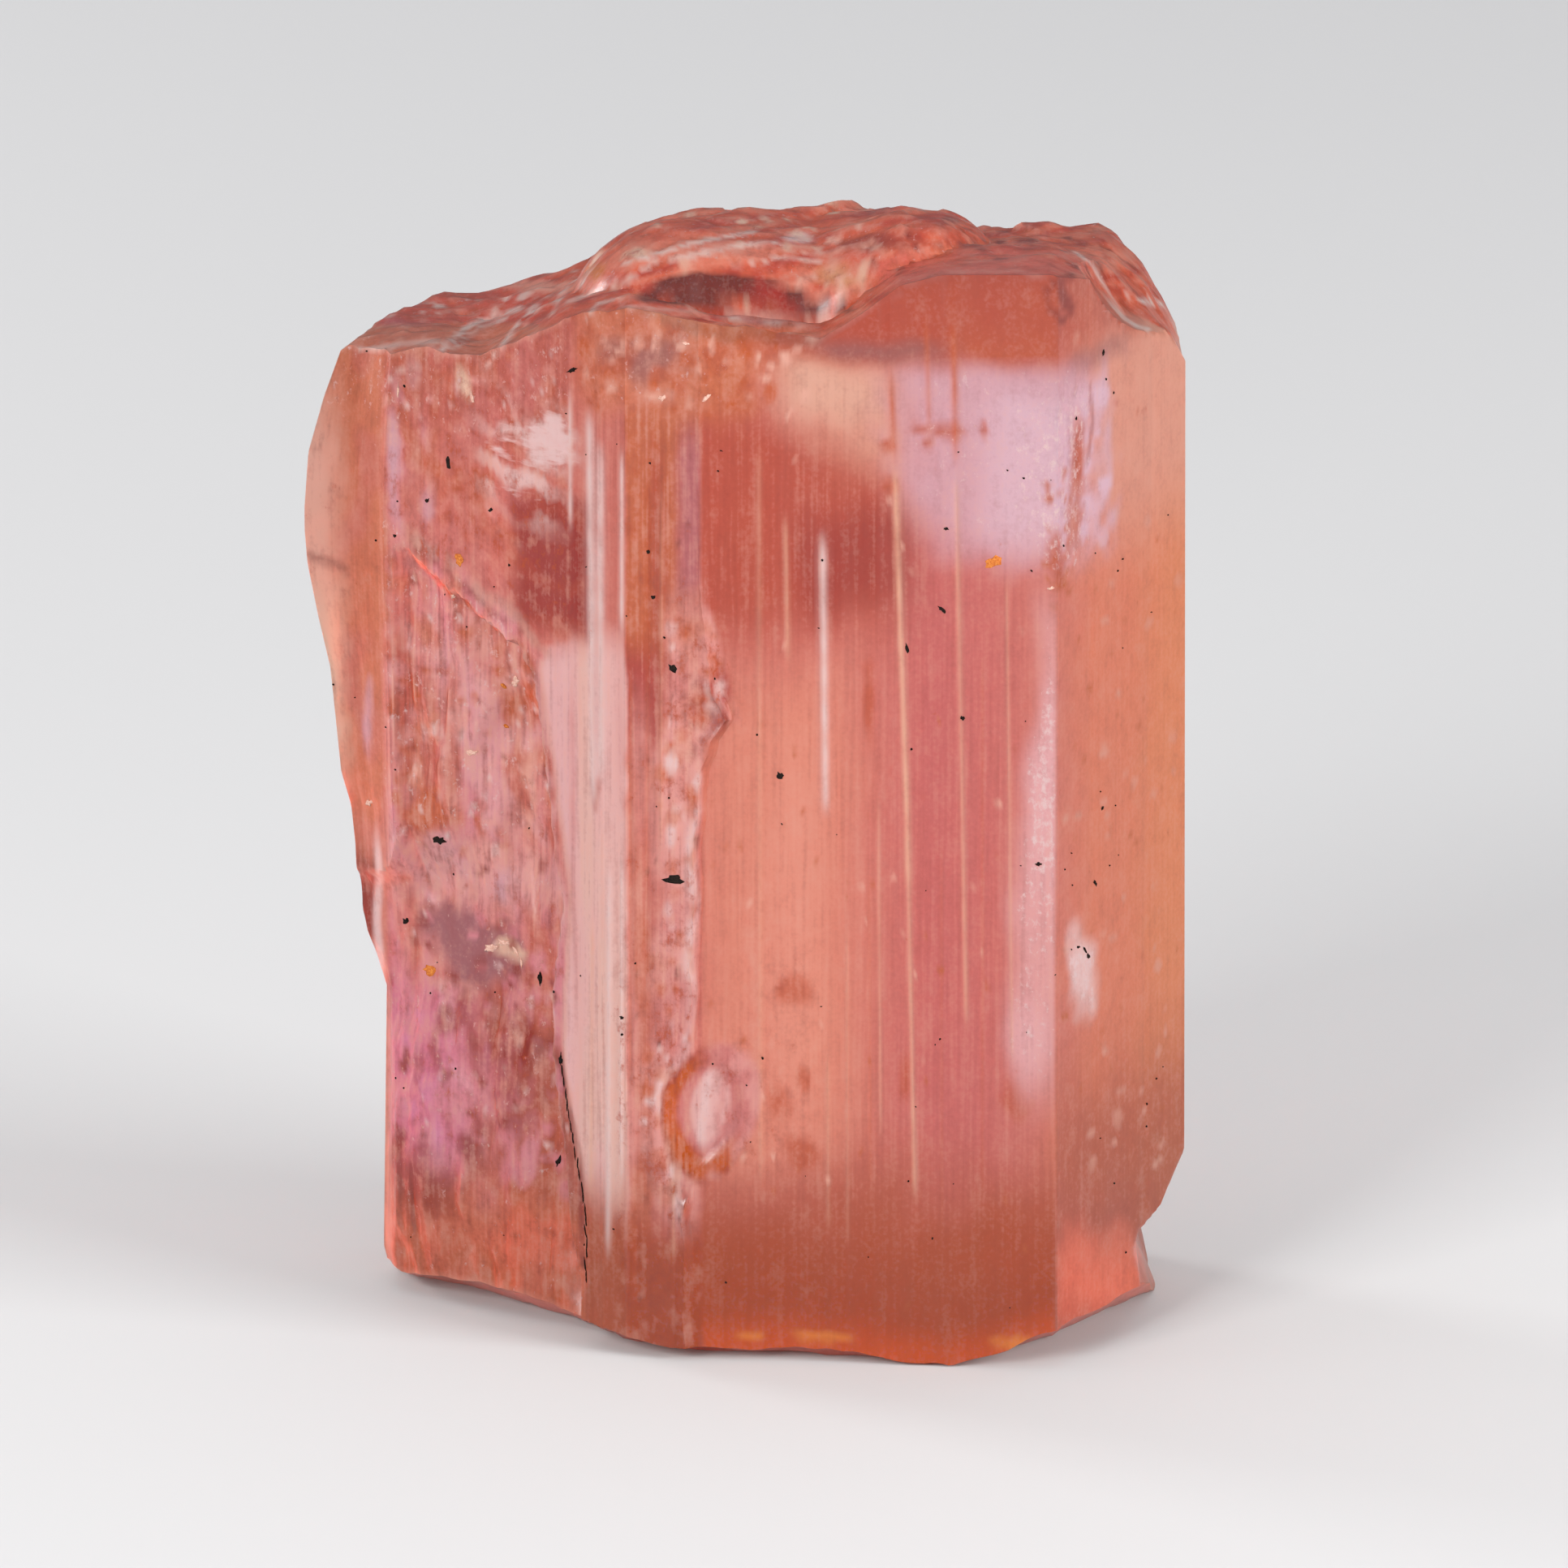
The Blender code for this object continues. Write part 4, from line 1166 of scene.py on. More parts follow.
def paint_left_top(paint):
    """The clear part above the splintered recess: painted shade in its dark window, a painted white
    reflection.
    """
    front = paint.front()
    x = paint.x
    z = paint.z
    part = front * fade(-2.90, -3.15, x) * fade(12.2, 13.2, z + 0.35 * (x + 3.2) + 0.3 * paint.coarse)
    paint.lay(part, SALMON)
    paint.lay(part * 0.8 * fade(15.2, 16.6, z + 0.3 * paint.coarse), ROSE_BROWN)
    place = (x, z)
    kinds = ((60, (0.02, 0.08), PALE_PINK), (40, (0.03, 0.10), RUST_PINK))
    sprinkle_all(paint, part, place, ((-6.3, -3.0), (14.0, 17.8)), kinds)
    sprinkle(paint, part, place, ((-6.3, -3.0), (16.0, 17.9)), 30, (0.02, 0.05), BRIGHT_CREAM)
    paint.lay(part * 0.5 * fade(0.1, 0.4, paint.coarse + 0.5 * paint.fine), DUSTY_PINK)
    paint.lay(part * 0.4 * fade(-0.1, -0.4, paint.coarse + 0.5 * paint.fine), RUST_ORANGE)
    a = paint.x + 0.15 * paint.coarse
    u = paint.z + 0.20 * paint.coarse
    # The dark window: painted shade seen through the clear part
    window = between(a, -4.00, -2.66, 0.15) * between(u, 12.85, 15.25, 0.25)
    paint.lay(front * 0.9 * window, MAROON)
    bands = fade(0.2, 0.6, np.sin(6.0 * z + 3.0 * paint.coarse))
    paint.lay(front * 0.35 * window * bands, DARK_SALMON)
    # The white reflection and its wisps: painted reflection
    bright = paint.blob(x, z, (-3.36, 16.25), (0.42, 0.45), 0.6, 0.5)
    wisps = paint.blob(x + 0.25 * (z - 15.8), z, (-4.00, 15.70), (0.60, 0.95), 0.7, 0.4)
    folds = np.sin(9.0 * (z + 0.35 * x) + 2.6 * paint.coarse + 1.8 * paint.fine)
    shreds = fade(-0.7, 0.0, np.sin(16.0 * (z + 0.2 * x) + 3.0 * paint.coarse + 3.0 * paint.fine))
    paint.lay(front * 0.95 * bright * np.maximum(shreds, 0.25), BRIGHT_CREAM)
    paint.lay(front * 0.8 * wisps * fade(0.0, 0.6, folds), BRIGHT_CREAM)
    paint.bring(front * np.maximum(bright, 0.5 * wisps), layers=1.0)
    patch = paint.blob(x + 0.3 * (z - 16.9), z, (-4.86, 16.88), (0.13, 0.24), 0.5, 0.9)
    paint.lay(front * patch, CREAM)
    paint.lay(front * 0.7 * paint.blob(x, z, (-5.80, 17.0), (0.12, 0.22), 0.6, 0.8), WHITE_LILAC)
    strip = between(x + 0.10 * paint.coarse, -6.32, -5.62, 0.15) * between(z, 13.0, 17.0, 0.6)
    paint.lay(front * 0.6 * strip * fade(-0.2, 0.4, paint.fibre + 0.7 * paint.fine), MAUVE_PINK)
    paint.lay(front * 0.6 * strip * fade(0.1, 0.5, paint.fibre + 0.8 * paint.fine), LILAC)
    paint.lay(front * 0.8 * paint.blob(x, z, (-6.15, 15.3), (0.10, 0.60), 0.5, 0.6), LILAC)
    paint.lay(front * 0.7 * paint.blob(x, z, (-5.55, 14.6), (0.14, 0.30), 0.5, 0.8), LILAC)
    paint.lay(part * 0.7 * paint.blob(x, z, (-6.1, 17.2), (0.5, 0.6), 0.6, 0.5), GREY_PINK)
    paint.bring(part, streak=0.30, stain=0.80)
    paint.bring(part * fade(14.5, 16.5, z), speckle=0.42)


def paint_flake(paint):
    """The smooth flake that stands out on the left: painted light on its thin lip, a painted
    highlight.
    """
    flake = np.isin(paint.side, FLAKE_SIDES).astype(float)
    flake *= fade(-6.20, -6.45, paint.x)
    x = paint.x + 0.08 * paint.coarse
    z = paint.z + 0.25 * paint.coarse
    paint.lay(flake, ORANGE)
    paint.lay(flake * 0.6 * fade(0.0, 0.4, paint.coarse), SALMON)
    # Paler towards the lip's edge: painted light on the thin lip
    rim = x + 0.1 * paint.fine
    paint.lay(flake * 0.9 * between(z, 9.0, 16.3, 1.0) * fade(-6.80, -7.50, rim), PALE_PEACH)
    paint.lay(flake * 0.7 * between(z, 9.4, 12.6, 0.9) * fade(-6.80, -7.30, rim), CREAM)
    # Low down: a brown-pink stretch and a painted white highlight streak beside it
    paint.lay(flake * 0.9 * between(z, 5.6, 8.0, 0.4) * fade(-6.42, -6.55, x), BROWN_PINK)
    paint.lay(flake * 0.9 * between(z, 5.6, 8.4, 0.4) * between(x, -6.52, -6.38, 0.05), WHITE_PINK)
    paint.lay(flake * 0.8 * paint.blob(x, z, (-6.60, 10.5), (0.10, 0.60), 0.5, 0.5), LILAC)
    ledge = abs(paint.z - 13.25 + 0.25 * (paint.x + 7.2) - 0.10 * paint.coarse)
    paint.lay(flake * 0.5 * fade(0.14, 0.03, ledge) * fade(-6.85, -7.05, paint.x), BROWN)
    paint.lay(flake * fade(5.4, 4.8, z) * 0.8, PEACH)
    paint.bring(flake, streak=0.20, stain=0.45)


def paint_recess(paint):
    """The splintered recess: mauve lumps, a grey patch, rusty stains, and a painted magenta reflection
    low down.
    """
    front = paint.front()
    x = paint.x + 0.05 * paint.fine
    z = paint.z + 0.08 * paint.fine
    lid = along(RECESS_LID, x) + 0.15 * paint.coarse
    edge = along(RIDGE_LEFT, paint.z)
    part = front * fade(-6.50, -6.30, x) * fade(edge + 0.05, edge - 0.05, x)
    part *= fade(lid + 0.2, lid - 0.3, z)
    lumps = paint.coarse + 0.6 * paint.fine
    paint.lay(part, RECESS_PINK, 0.38)
    paint.lay(part * 0.8 * fade(0.0, 0.45, paint.fibre + 0.4 * paint.coarse), MAUVE_PINK)
    paint.lay(part * 0.6 * fade(0.0, -0.4, paint.fibre + 0.5 * paint.fine), RUST_PINK)
    paint.lay(part * 0.5 * fade(0.15, 0.5, lumps) * fade(7.5, 9.0, z), PALE_LILAC)
    paint.lay(part * 0.6 * fade(-0.15, -0.5, lumps) * fade(7.0, 8.0, z), ORANGE)
    paint.lay(part * 0.7 * paint.blob(x, z, (-3.95, 11.2), (0.35, 1.0), 0.5, 0.7), RUST_ORANGE)
    paint.lay(part * 0.6 * between(z, 7.4, 8.4, 0.4), PALE_LILAC)
    low = fade(6.3, 5.3, z + 0.3 * paint.coarse)
    paint.bring(part * low, stain=0.45)
    # Low down: a painted magenta reflection on the left, painted shade on the right
    paint.lay(part * 0.95 * low * fade(-4.0, -5.4, x), MAGENTA)
    paint.lay(part * 0.8 * low * fade(-5.0, -4.2, x), LOW_SHADE_PINK)
    paint.lay(part * 0.8 * low * fade(0.1, 0.5, lumps + 0.5 * paint.fibre), MAUVE_PINK)
    paint.lay(part * 0.6 * low * fade(-0.1, -0.5, lumps + 0.4 * paint.fibre), BROWN_PINK)
    paint.lay(part * 0.9 * fade(2.9, 1.8, z + 0.3 * paint.coarse), FOOT_ORANGE)
    paint.lay(part * 0.9 * paint.blob(x, z, (-3.75, 1.45), (0.95, 0.50), 0.5, 0.6), CORAL)
    grey = paint.blob(x + 0.2 * (z - 6.6), z, (-4.75, 6.65), (0.92, 0.70), 0.25, 0.35)
    paint.lay(part * 0.95 * grey, SMOKE_MAUVE)
    rust = paint.blob(x - 0.4 * (z - 8.9), z, (-5.55, 8.95), (0.42, 0.42), 0.5, 0.9)
    paint.lay(part * 0.8 * rust, RUST)
    straw = paint.blob(x, z, (-3.80, 9.5), (0.20, 1.0), 0.5, 1.0)
    paint.lay(part * 0.7 * straw * fade(-0.3, 0.2, paint.fine), PALE_PEACH)
    curl = paint.blob(x + 0.5 * (z - 6.6), z, (-4.1, 6.62), (0.28, 0.12), 0.5, 1.0)
    paint.lay(part * 0.9 * curl, CREAM)
    paint.lay(part * 0.8 * paint.blob(x, z, (-4.25, 7.75), (0.13, 0.28), 0.5, 0.6), LILAC)
    for tint, spots in ((HOT_LILAC, LILAC_SPOTS), (PALE_PINK, PALE_FLAKES)):
        for middle, reach in spots:
            paint.lay(part * 0.7 * paint.blob(x, z, middle, reach, 0.6, 0.9), tint)
    rim = fade(0.20, 0.04, abs(z - lid)) * between(x, -5.9, -3.4, 0.2)
    paint.lay(front * 0.6 * rim * fade(-0.3, 0.3, paint.fine + 0.2), GREY_CREAM)
    place = (x, z)
    upper = ((90, (0.03, 0.12), PALE_PINK), (60, (0.03, 0.12), RUST),
             (45, (0.02, 0.06), BROWN_PINK), (35, (0.02, 0.07), BRIGHT_CREAM))
    sprinkle_all(paint, part, place, ((-6.3, -3.4), (7.6, 13.6)), upper)
    lower = ((70, (0.04, 0.16), MAUVE_PINK), (50, (0.03, 0.12), BROWN_PINK),
             (25, (0.02, 0.07), WHITE_PINK))
    sprinkle_all(paint, part, place, ((-6.3, -3.1), (2.8, 7.4)), lower)
    paint.lay(part * 0.7 * paint.blob(x, z, (-4.1, 4.6), (0.6, 1.2), 0.6, 0.6), BROWN_PINK)
    paint.lay(part * 0.8 * paint.blob(x, z, (-5.8, 2.2), (0.6, 0.6), 0.6, 0.5), BROWN_PINK)
    paint.bring(part, streak=0.65, stain=0.70, speckle=0.34)
    paint.bring(part * fade(8.0, 6.5, z), streak=0.32)
    paint.bring(part * grey, stain=0.30, streak=0.05)
    paint.bring(part * fade(8.0, 10.0, z), speckle=0.44)


def paint_pit(paint):
    """The eye-shaped pit low on the main face, rusty round its lower left rim."""
    front = paint.front()
    across = paint.x + 0.60 - 0.12 * (paint.z - 4.55)
    up = paint.z - 4.55
    ring = np.hypot((across - 0.05) / 0.80, up / 1.22) + 0.14 * paint.coarse + 0.08 * paint.fine
    paint.lay(front * fade(1.12, 0.95, ring), DUSTY_PINK)
    rim = between(ring, 0.70, 1.06, 0.07)
    paint.lay(front * rim * fade(0.5, -0.1, across + 0.5 * up), RUST)
    edge = between(ring, 0.98, 1.08, 0.05) * fade(0.5, -0.1, across + 0.4 * up)
    paint.lay(front * 0.6 * edge, BROWN_PINK)
    paint.lay(front * 0.6 * rim * fade(-0.2, 0.3, across) * fade(-0.3, 0.2, paint.fine), PALE_PINK)
    middle = fade(0.76, 0.56, np.hypot((across - 0.02) / 0.50, up / 1.1) + 0.2 * paint.coarse)
    paint.lay(front * 0.8 * middle, RIDGE_PINK)
    paint.lay(front * 0.6 * middle * fade(0.12, 0.04, abs(across + 0.10)), WHITE_PINK)
    paint.lay(front * 0.5 * middle * fade(0.08, 0.02, abs(across - 0.18)), DUSTY_PINK)
    paint.bring(front * fade(1.2, 0.9, ring), stain=0.6)


def paint_top(paint):
    """The broken top: streaky red-brown shells, painted shade in its crevice, pale splinters and
    painted glints.
    """
    a = paint.across + 0.05 * paint.fine
    u = paint.up + 0.04 * paint.coarse
    top = (paint.side == TOP).astype(float)
    streaks = np.array([ripple(0.7 * p, 7.0 * (q - 0.2 * p), 3.0) for p, q in zip(a, u)])
    paint.lay(top, TOP_RED, 0.36)
    paint.lay(top * 0.55 * fade(0.0, 0.4, streaks + 0.3 * paint.fine), TOP_PINK)
    paint.lay(top * 0.65 * fade(0.0, -0.4, streaks + 0.3 * paint.fine), TOP_BROWN)
    left = fade(-2.9, -3.7, a)
    paint.lay(top * 0.75 * left, TOP_MAUVE)
    paint.lay(top * 0.6 * left * fade(0.0, 0.4, paint.coarse + 0.5 * paint.fine), DARK_SALMON)
    for tint, cover, middle, reach in TOP_PATCHES:
        paint.lay(top * cover * paint.blob(a, u, middle, reach, 0.5, 0.6), tint)
    place = (paint.x, paint.y)
    sprinkle(paint, top, place, ((0.9, 2.3), (-2.8, -0.4)), 40, (0.05, 0.10), PALE_PEACH)
    # Cream flecks on the mound and glint flecks left of it: painted sparkles
    sprinkle(paint, top, place, ((-2.6, 2.2), (-2.4, 3.5)), 80, (0.05, 0.12), CREAM)
    sprinkle(paint, top, place, ((-6.6, -2.6), (-2.5, 3.0)), 60, (0.05, 0.11), GLINT)
    sprinkle(paint, top, place, ((2.2, 6.8), (-3.4, 3.0)), 80, (0.05, 0.14), RED_BROWN)
    # The crevice: painted shade, with a little red-brown in it
    low = along(CREVICE_LOW, a)
    high = along(CREVICE_HIGH, a)
    dark = fade(low - 0.04, low + 0.04, u) * fade(high + 0.05, high - 0.05, u)
    dark *= between(a, -1.9, 1.9, 0.15)
    paint.lay(top * dark, CREVICE_SHADE)
    paint.lay(top * dark * 0.7 * fade(-0.6, 0.4, a) * fade(0.0, 0.3, streaks), TOP_BROWN)
    # A painted glint in the crevice
    paint.lay(top * 0.6 * paint.blob(a, u, (-0.90, 8.87), (0.14, 0.04), 0.4, 0.5), PEACH)
    paint.lay(top * 0.8 * paint.blob(a, u, (0.05, 8.22), (0.85, 0.12), 0.4, 0.4), TOP_BROWN)
    paint.lay(top * 0.8 * fade(8.15, 8.02, u) * fade(1.4, 1.0, a), ORANGE)
    chip = paint.blob(a + 0.3 * (u - 8.5), u, (5.66, 8.50), (0.12, 0.30), 0.4, 0.4)
    paint.lay(0.8 * np.maximum(paint.front(), top) * chip, RED_BROWN)
    paint.bring(top, streak=0.10, speckle=0.34, stain=0.70)
    paint.bring(top * dark, speckle=0.0, stain=0.0, streak=0.0)
    paint.calm = top * dark


def drawn(paint, width, course):
    """The cover of a thin line along a course in the photograph's plane, broken up a little."""
    places = np.stack([paint.across, paint.up], axis=1)
    nearest = np.full(len(paint.x), 99.0)
    for start, end in zip(course, course[1:]):
        start = np.array(start)
        step = np.array(end) - start
        share = np.clip((places - start) @ step / (step @ step), 0.0, 1.0)
        nearest = np.minimum(nearest, np.linalg.norm(places - start - share[:, None] * step, axis=1))
    return fade(width * 1.6, width * 0.4, nearest) * np.clip(0.9 + 0.8 * paint.fine, 0.3, 1.0)


def paint_glints(paint):
    """Thin dark cracks, and thin bright edges on the broken top and the right shoulder."""
    seen = np.maximum(paint.front(), paint.side == TOP)
    for width, strength, course in CRACKS:
        paint.lay(seen * strength * drawn(paint, width, course), RED_BROWN)
    for width, strength, course in GLINTS:
        paint.lay(seen * strength * drawn(paint, width, course), GLINT)


def paint_growth_lines(paint):
    """The growth lines, pale threads and rusty ones, and a painted highlight along a corner of the
    ridge.
    """
    for course, stretches in [line[1:] for line in GROWTH_LINES] + [EDGE_HIGHLIGHT]:
        middle = along(course, paint.z)
        for foot, head, half_width, _, tone in stretches:
            away = (paint.x - middle) / half_width
            ends = fade(foot, foot + 0.6, paint.z) * fade(head, head - 0.6, paint.z)
            broken = 0.85 + 0.3 * paint.fine
            tint = RUST_LINE if tone < 0 else BRIGHT_CREAM if tone >= 0.8 else LINE_CREAM
            paint.lay(paint.front() * np.exp(-away ** 2) * ends * abs(tone) * broken, tint)


def paint_rim_light_and_shade(paint, mesh):
    """Painted highlights and shade: points that stand out from their neighbours are lighter, sunk ones
    darker.
    """
    count = len(mesh.vertices)
    places = np.stack([paint.x, paint.y, paint.z], axis=1)
    normals = np.empty(3 * count)
    mesh.vertices.foreach_get("normal", normals)
    ends = np.empty(2 * len(mesh.edges), dtype=int)
    mesh.edges.foreach_get("vertices", ends)
    first, second = ends.reshape(-1, 2).T
    middles = np.zeros((count, 3))
    degree = np.zeros(count)
    for here, there in ((first, second), (second, first)):
        np.add.at(middles, here, places[there])
        np.add.at(degree, here, 1.0)
    bulge = ((places - middles / degree[:, None]) * normals.reshape(-1, 3)).sum(axis=1)
    broken = paint.front() * (paint.x < -3.0) + (paint.side == TOP)
    broken *= 1.0 - paint.calm
    # Lighter where a point stands out: painted highlight. Darker in rust where it sinks: painted shade
    paint.lay(broken * 0.30 * fade(0.006, 0.024, bulge), PALE_PEACH)
    paint.lay(broken * 0.35 * fade(-0.006, -0.024, bulge), RUST)


def add_paint(mesh, sides):
    """Paints the surface and stores the paint as attributes for the material."""
    paint = Paint(mesh, sides)
    paint_all_over(paint)
    paint_main_face(paint)
    paint_right_side(paint)
    paint_window_glow(paint)
    paint_speckled_edge(paint)
    paint_steps(paint)
    paint_ridge(paint)
    paint_under_top(paint)
    paint_left_top(paint)
    paint_recess(paint)
    paint_flake(paint)
    paint_pit(paint)
    paint_top(paint)
    paint_growth_lines(paint)
    paint_rim_light_and_shade(paint, mesh)
    paint_glints(paint)
    colours = np.concatenate([paint.tint, paint.frost[:, None]], axis=1)
    finishes_and_reflection = np.stack([paint.speckle, paint.streak, paint.stain, paint.layers], axis=1)
    for name, values in (("tint", colours), ("finish_and_reflection", finishes_and_reflection)):
        layer = mesh.attributes.new(name, "FLOAT_COLOR", "POINT")
        layer.data.foreach_set("color", values.ravel())


def noise_node(tree, place, stretch, detail, roughness=0.5):
    """Noise from 0 to 1 with the given features to the millimetre along X, Y and Z."""
    scaled = tree.nodes.new("ShaderNodeVectorMath")
    scaled.operation = "MULTIPLY"
    tree.links.new(place, scaled.inputs[0])
    scaled.inputs[1].default_value = [value / MM for value in stretch]
    texture = tree.nodes.new("ShaderNodeTexNoise")
    texture.inputs["Scale"].default_value = 1.0
    texture.inputs["Detail"].default_value = detail
    texture.inputs["Roughness"].default_value = roughness
    tree.links.new(scaled.outputs[0], texture.inputs["Vector"])
    return texture.outputs["Fac"]


def ranged(tree, value, from_low, from_high, to_low=0.0, to_high=1.0):
    """A value turned from one range to another, held at its ends."""
    node = tree.nodes.new("ShaderNodeMapRange")
    node.inputs["From Min"].default_value = from_low
    node.inputs["From Max"].default_value = from_high
    node.inputs["To Min"].default_value = to_low
    node.inputs["To Max"].default_value = to_high
    tree.links.new(value, node.inputs["Value"])
    return node.outputs["Result"]


def sums(tree, operation, first, second):
    """One sum between two values, each a number or a node's output."""
    node = tree.nodes.new("ShaderNodeMath")
    node.operation = operation
    for socket, value in zip(node.inputs, (first, second)):
        if isinstance(value, (int, float)):
            socket.default_value = value
        else:
            tree.links.new(value, socket)
    return node.outputs[0]


def blend(tree, share, under, over, mode="MIX"):
    """One colour laid over another by a share from 0 to 1."""
    node = tree.nodes.new("ShaderNodeMix")
    node.data_type = "RGBA"
    node.blend_type = mode
    tree.links.new(share, node.inputs["Factor"])
    tree.links.new(under, node.inputs["A"])
    if isinstance(over, tuple):
        node.inputs["B"].default_value = (*over, 1.0)
    else:
        tree.links.new(over, node.inputs["B"])
    return node.outputs["Result"]


def attribute(tree, name):
    """A node that reads the paint stored under a name."""
    node = tree.nodes.new("ShaderNodeAttribute")
    node.attribute_name = name
    return node


def topaz_material():
    """Hazy clear topaz: the painted colours, broken up by fibres, grains, scuffs and stains."""
    material, tree, shader = started_material("topaz")
    place = tree.nodes.new("ShaderNodeTexCoord").outputs["Object"]
    tint = attribute(tree, "tint")
    finish_and_reflection = attribute(tree, "finish_and_reflection")
    parts = tree.nodes.new("ShaderNodeSeparateColor")
    tree.links.new(finish_and_reflection.outputs["Color"], parts.inputs["Color"])
    speckle, streak, stain = parts.outputs

    fibres = noise_node(tree, place, (9.0, 9.0, 0.35), 2.0, 0.6)
    threads = noise_node(tree, place, (15.0, 15.0, 0.4), 0.0)
    grain = noise_node(tree, place, (13.0, 13.0, 13.0), 1.0, 0.7)
    clouds = noise_node(tree, place, (2.6, 2.6, 2.2), 4.0, 0.65)
    scuffs = noise_node(tree, place, (8.0, 8.0, 6.0), 3.0, 0.75)
    ledges = noise_node(tree, place, (1.5, 1.5, 6.5), 3.0, 0.6)

    broad = ranged(tree, fibres, 0.3, 0.7, -0.6, 0.6)
    narrow = ranged(tree, threads, 0.3, 0.7, -0.3, 0.3)
    lines = sums(tree, "ADD", broad, narrow)
    shade = sums(tree, "MULTIPLY", lines, sums(tree, "MULTIPLY", streak, 0.55))
    blotches = sums(tree, "MULTIPLY", ranged(tree, clouds, 0.3, 0.7, -0.5, 0.5), stain)
    shade = sums(tree, "ADD", shade, sums(tree, "MULTIPLY", blotches, 0.6))
    shade = sums(tree, "ADD", shade, ranged(tree, grain, 0.25, 0.75, -0.055, 0.055))
    lighter = ranged(tree, shade, 0.0, 0.5, 0.0, 0.75)
    darker = ranged(tree, shade, 0.0, -0.5, 0.0, 0.8)
    colour = blend(tree, lighter, tint.outputs["Color"], PALE_PEACH)
    colour = blend(tree, darker, colour, RED_BROWN)

    patches = sums(tree, "ADD", sums(tree, "MULTIPLY", stain, 0.34), scuffs)
    patches = sums(tree, "SUBTRACT", patches, clouds)
    rusty = ranged(tree, patches, 0.36, 0.60, 0.0, 0.8)
    colour = blend(tree, rusty, colour, RUST_PINK)
    flecks = sums(tree, "ADD", sums(tree, "MULTIPLY", speckle, 0.45), scuffs)
    white = ranged(tree, flecks, 0.78, 0.98, 0.0, 0.9)
    colour = blend(tree, white, colour, WHITE_PINK)
    # Layered white edges of the painted reflection
    reflection_edges = sums(tree, "ADD", sums(tree, "MULTIPLY", finish_and_reflection.outputs["Alpha"], 0.55), ledges)
    colour = blend(tree, ranged(tree, reflection_edges, 0.78, 1.0, 0.0, 0.9), colour, WHITE_PINK)
    tree.links.new(colour, shader.inputs["Base Color"])

    frost = sums(tree, "ADD", tint.outputs["Alpha"], ranged(tree, grain, 0.3, 0.7, -0.02, 0.02))
    frost = sums(tree, "ADD", frost, sums(tree, "MULTIPLY", white, 0.15))
    tree.links.new(frost, shader.inputs["Roughness"])

    relief = sums(tree, "MULTIPLY", fibres, sums(tree, "ADD", streak, 0.15))
    worn = sums(tree, "MULTIPLY", scuffs, sums(tree, "MULTIPLY", stain, 0.7))
    relief = sums(tree, "ADD", relief, worn)
    bump = tree.nodes.new("ShaderNodeBump")
    bump.inputs["Strength"].default_value = BUMP_STRENGTH
    bump.inputs["Distance"].default_value = BUMP_DEPTH * MM
    tree.links.new(relief, bump.inputs["Height"])
    tree.links.new(bump.outputs["Normal"], shader.inputs["Normal"])

    shader.inputs["IOR"].default_value = TOPAZ_IOR
    shader.inputs["Specular IOR Level"].default_value = SPECULAR_LEVEL
    shader.inputs["Transmission Weight"].default_value = CLEARNESS
    shader.inputs["Coat Weight"].default_value = COAT
    shader.inputs["Coat Roughness"].default_value = COAT_ROUGHNESS
    volume = tree.nodes.new("ShaderNodeVolumeAbsorption")
    volume.inputs["Color"].default_value = (*ABSORBED, 1)
    volume.inputs["Density"].default_value = ABSORPTION
    tree.links.new(volume.outputs["Volume"], tree.nodes["Material Output"].inputs["Volume"])
    return material


def add_crystal():
    """The crystal's fine surface, painted, in the place of the CAD solid."""
    mesh, sides = crystal_mesh()
    add_paint(mesh, sides)
    crystal = placed("crystal_surface", mesh)
    mesh.materials.append(topaz_material())
    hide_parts("topaz_crystal")
    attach(crystal, "root")
    return crystal


def fleck(shape, tree, x, z, length, width, lean, turn=0.0):
    """A thin irregular crumb on the crystal, at (x, z) as seen from the front or turned from it."""
    looking = Vector((-math.sin(turn), math.cos(turn), 0.0))
    start = Vector((x * math.cos(turn), x * math.sin(turn), z)) - 20.0 * looking
    hit, normal, _, _ = tree.ray_cast(start * MM, looking)
    if hit is None:
        return
    across = Z_AXIS.cross(normal).normalized()
    up = normal.cross(across)
    corners = 12 if length > 0.06 else 6
    rings = []
    for lift, share in CRUMB_RINGS:
        ring = []
        for index in range(corners):
            angle = 2 * math.pi * index / corners
            cos = math.cos(angle)
            sin = math.sin(angle)
            ragged = 1 + 0.9 * ripple(3.1 * x + 1.9 * cos, 3.1 * z + 1.9 * sin, length)
            a = share * ragged * length / 2 * cos
            b = share * ragged * width / 2 * sin
            flat = across * (a * math.cos(lean) - b * math.sin(lean))
            flat += up * (a * math.sin(lean) + b * math.cos(lean))
            ring.append(shape.verts.new(hit + (flat + normal * lift) * MM))
        rings.append(ring)
    shape.faces.new(rings[0][::-1])
    shape.faces.new(rings[-1])
    for below, above in zip(rings, rings[1:]):
        for index in range(corners):
            after = (index + 1) % corners
            shape.faces.new((below[index], below[after], above[after], above[index]))


def crumb_material(name, dark, light):
    """A dull mineral crumb, mottled between two colours."""
    material, tree, shader = started_material(name)
    place = tree.nodes.new("ShaderNodeTexCoord").outputs["Object"]
    mottle = noise_node(tree, place, (30.0, 30.0, 30.0), 3.0)
    base = tree.nodes.new("ShaderNodeRGB")
    base.outputs[0].default_value = (*dark, 1.0)
    colour = blend(tree, ranged(tree, mottle, 0.35, 0.7), base.outputs[0], light)
    tree.links.new(colour, shader.inputs["Base Color"])
    dullness = ranged(tree, mottle, 0.0, 1.0, *CRUMB_ROUGHNESS)
    tree.links.new(dullness, shader.inputs["Roughness"])
    shader.inputs["Specular IOR Level"].default_value = CRUMB_GLOSS
    return material


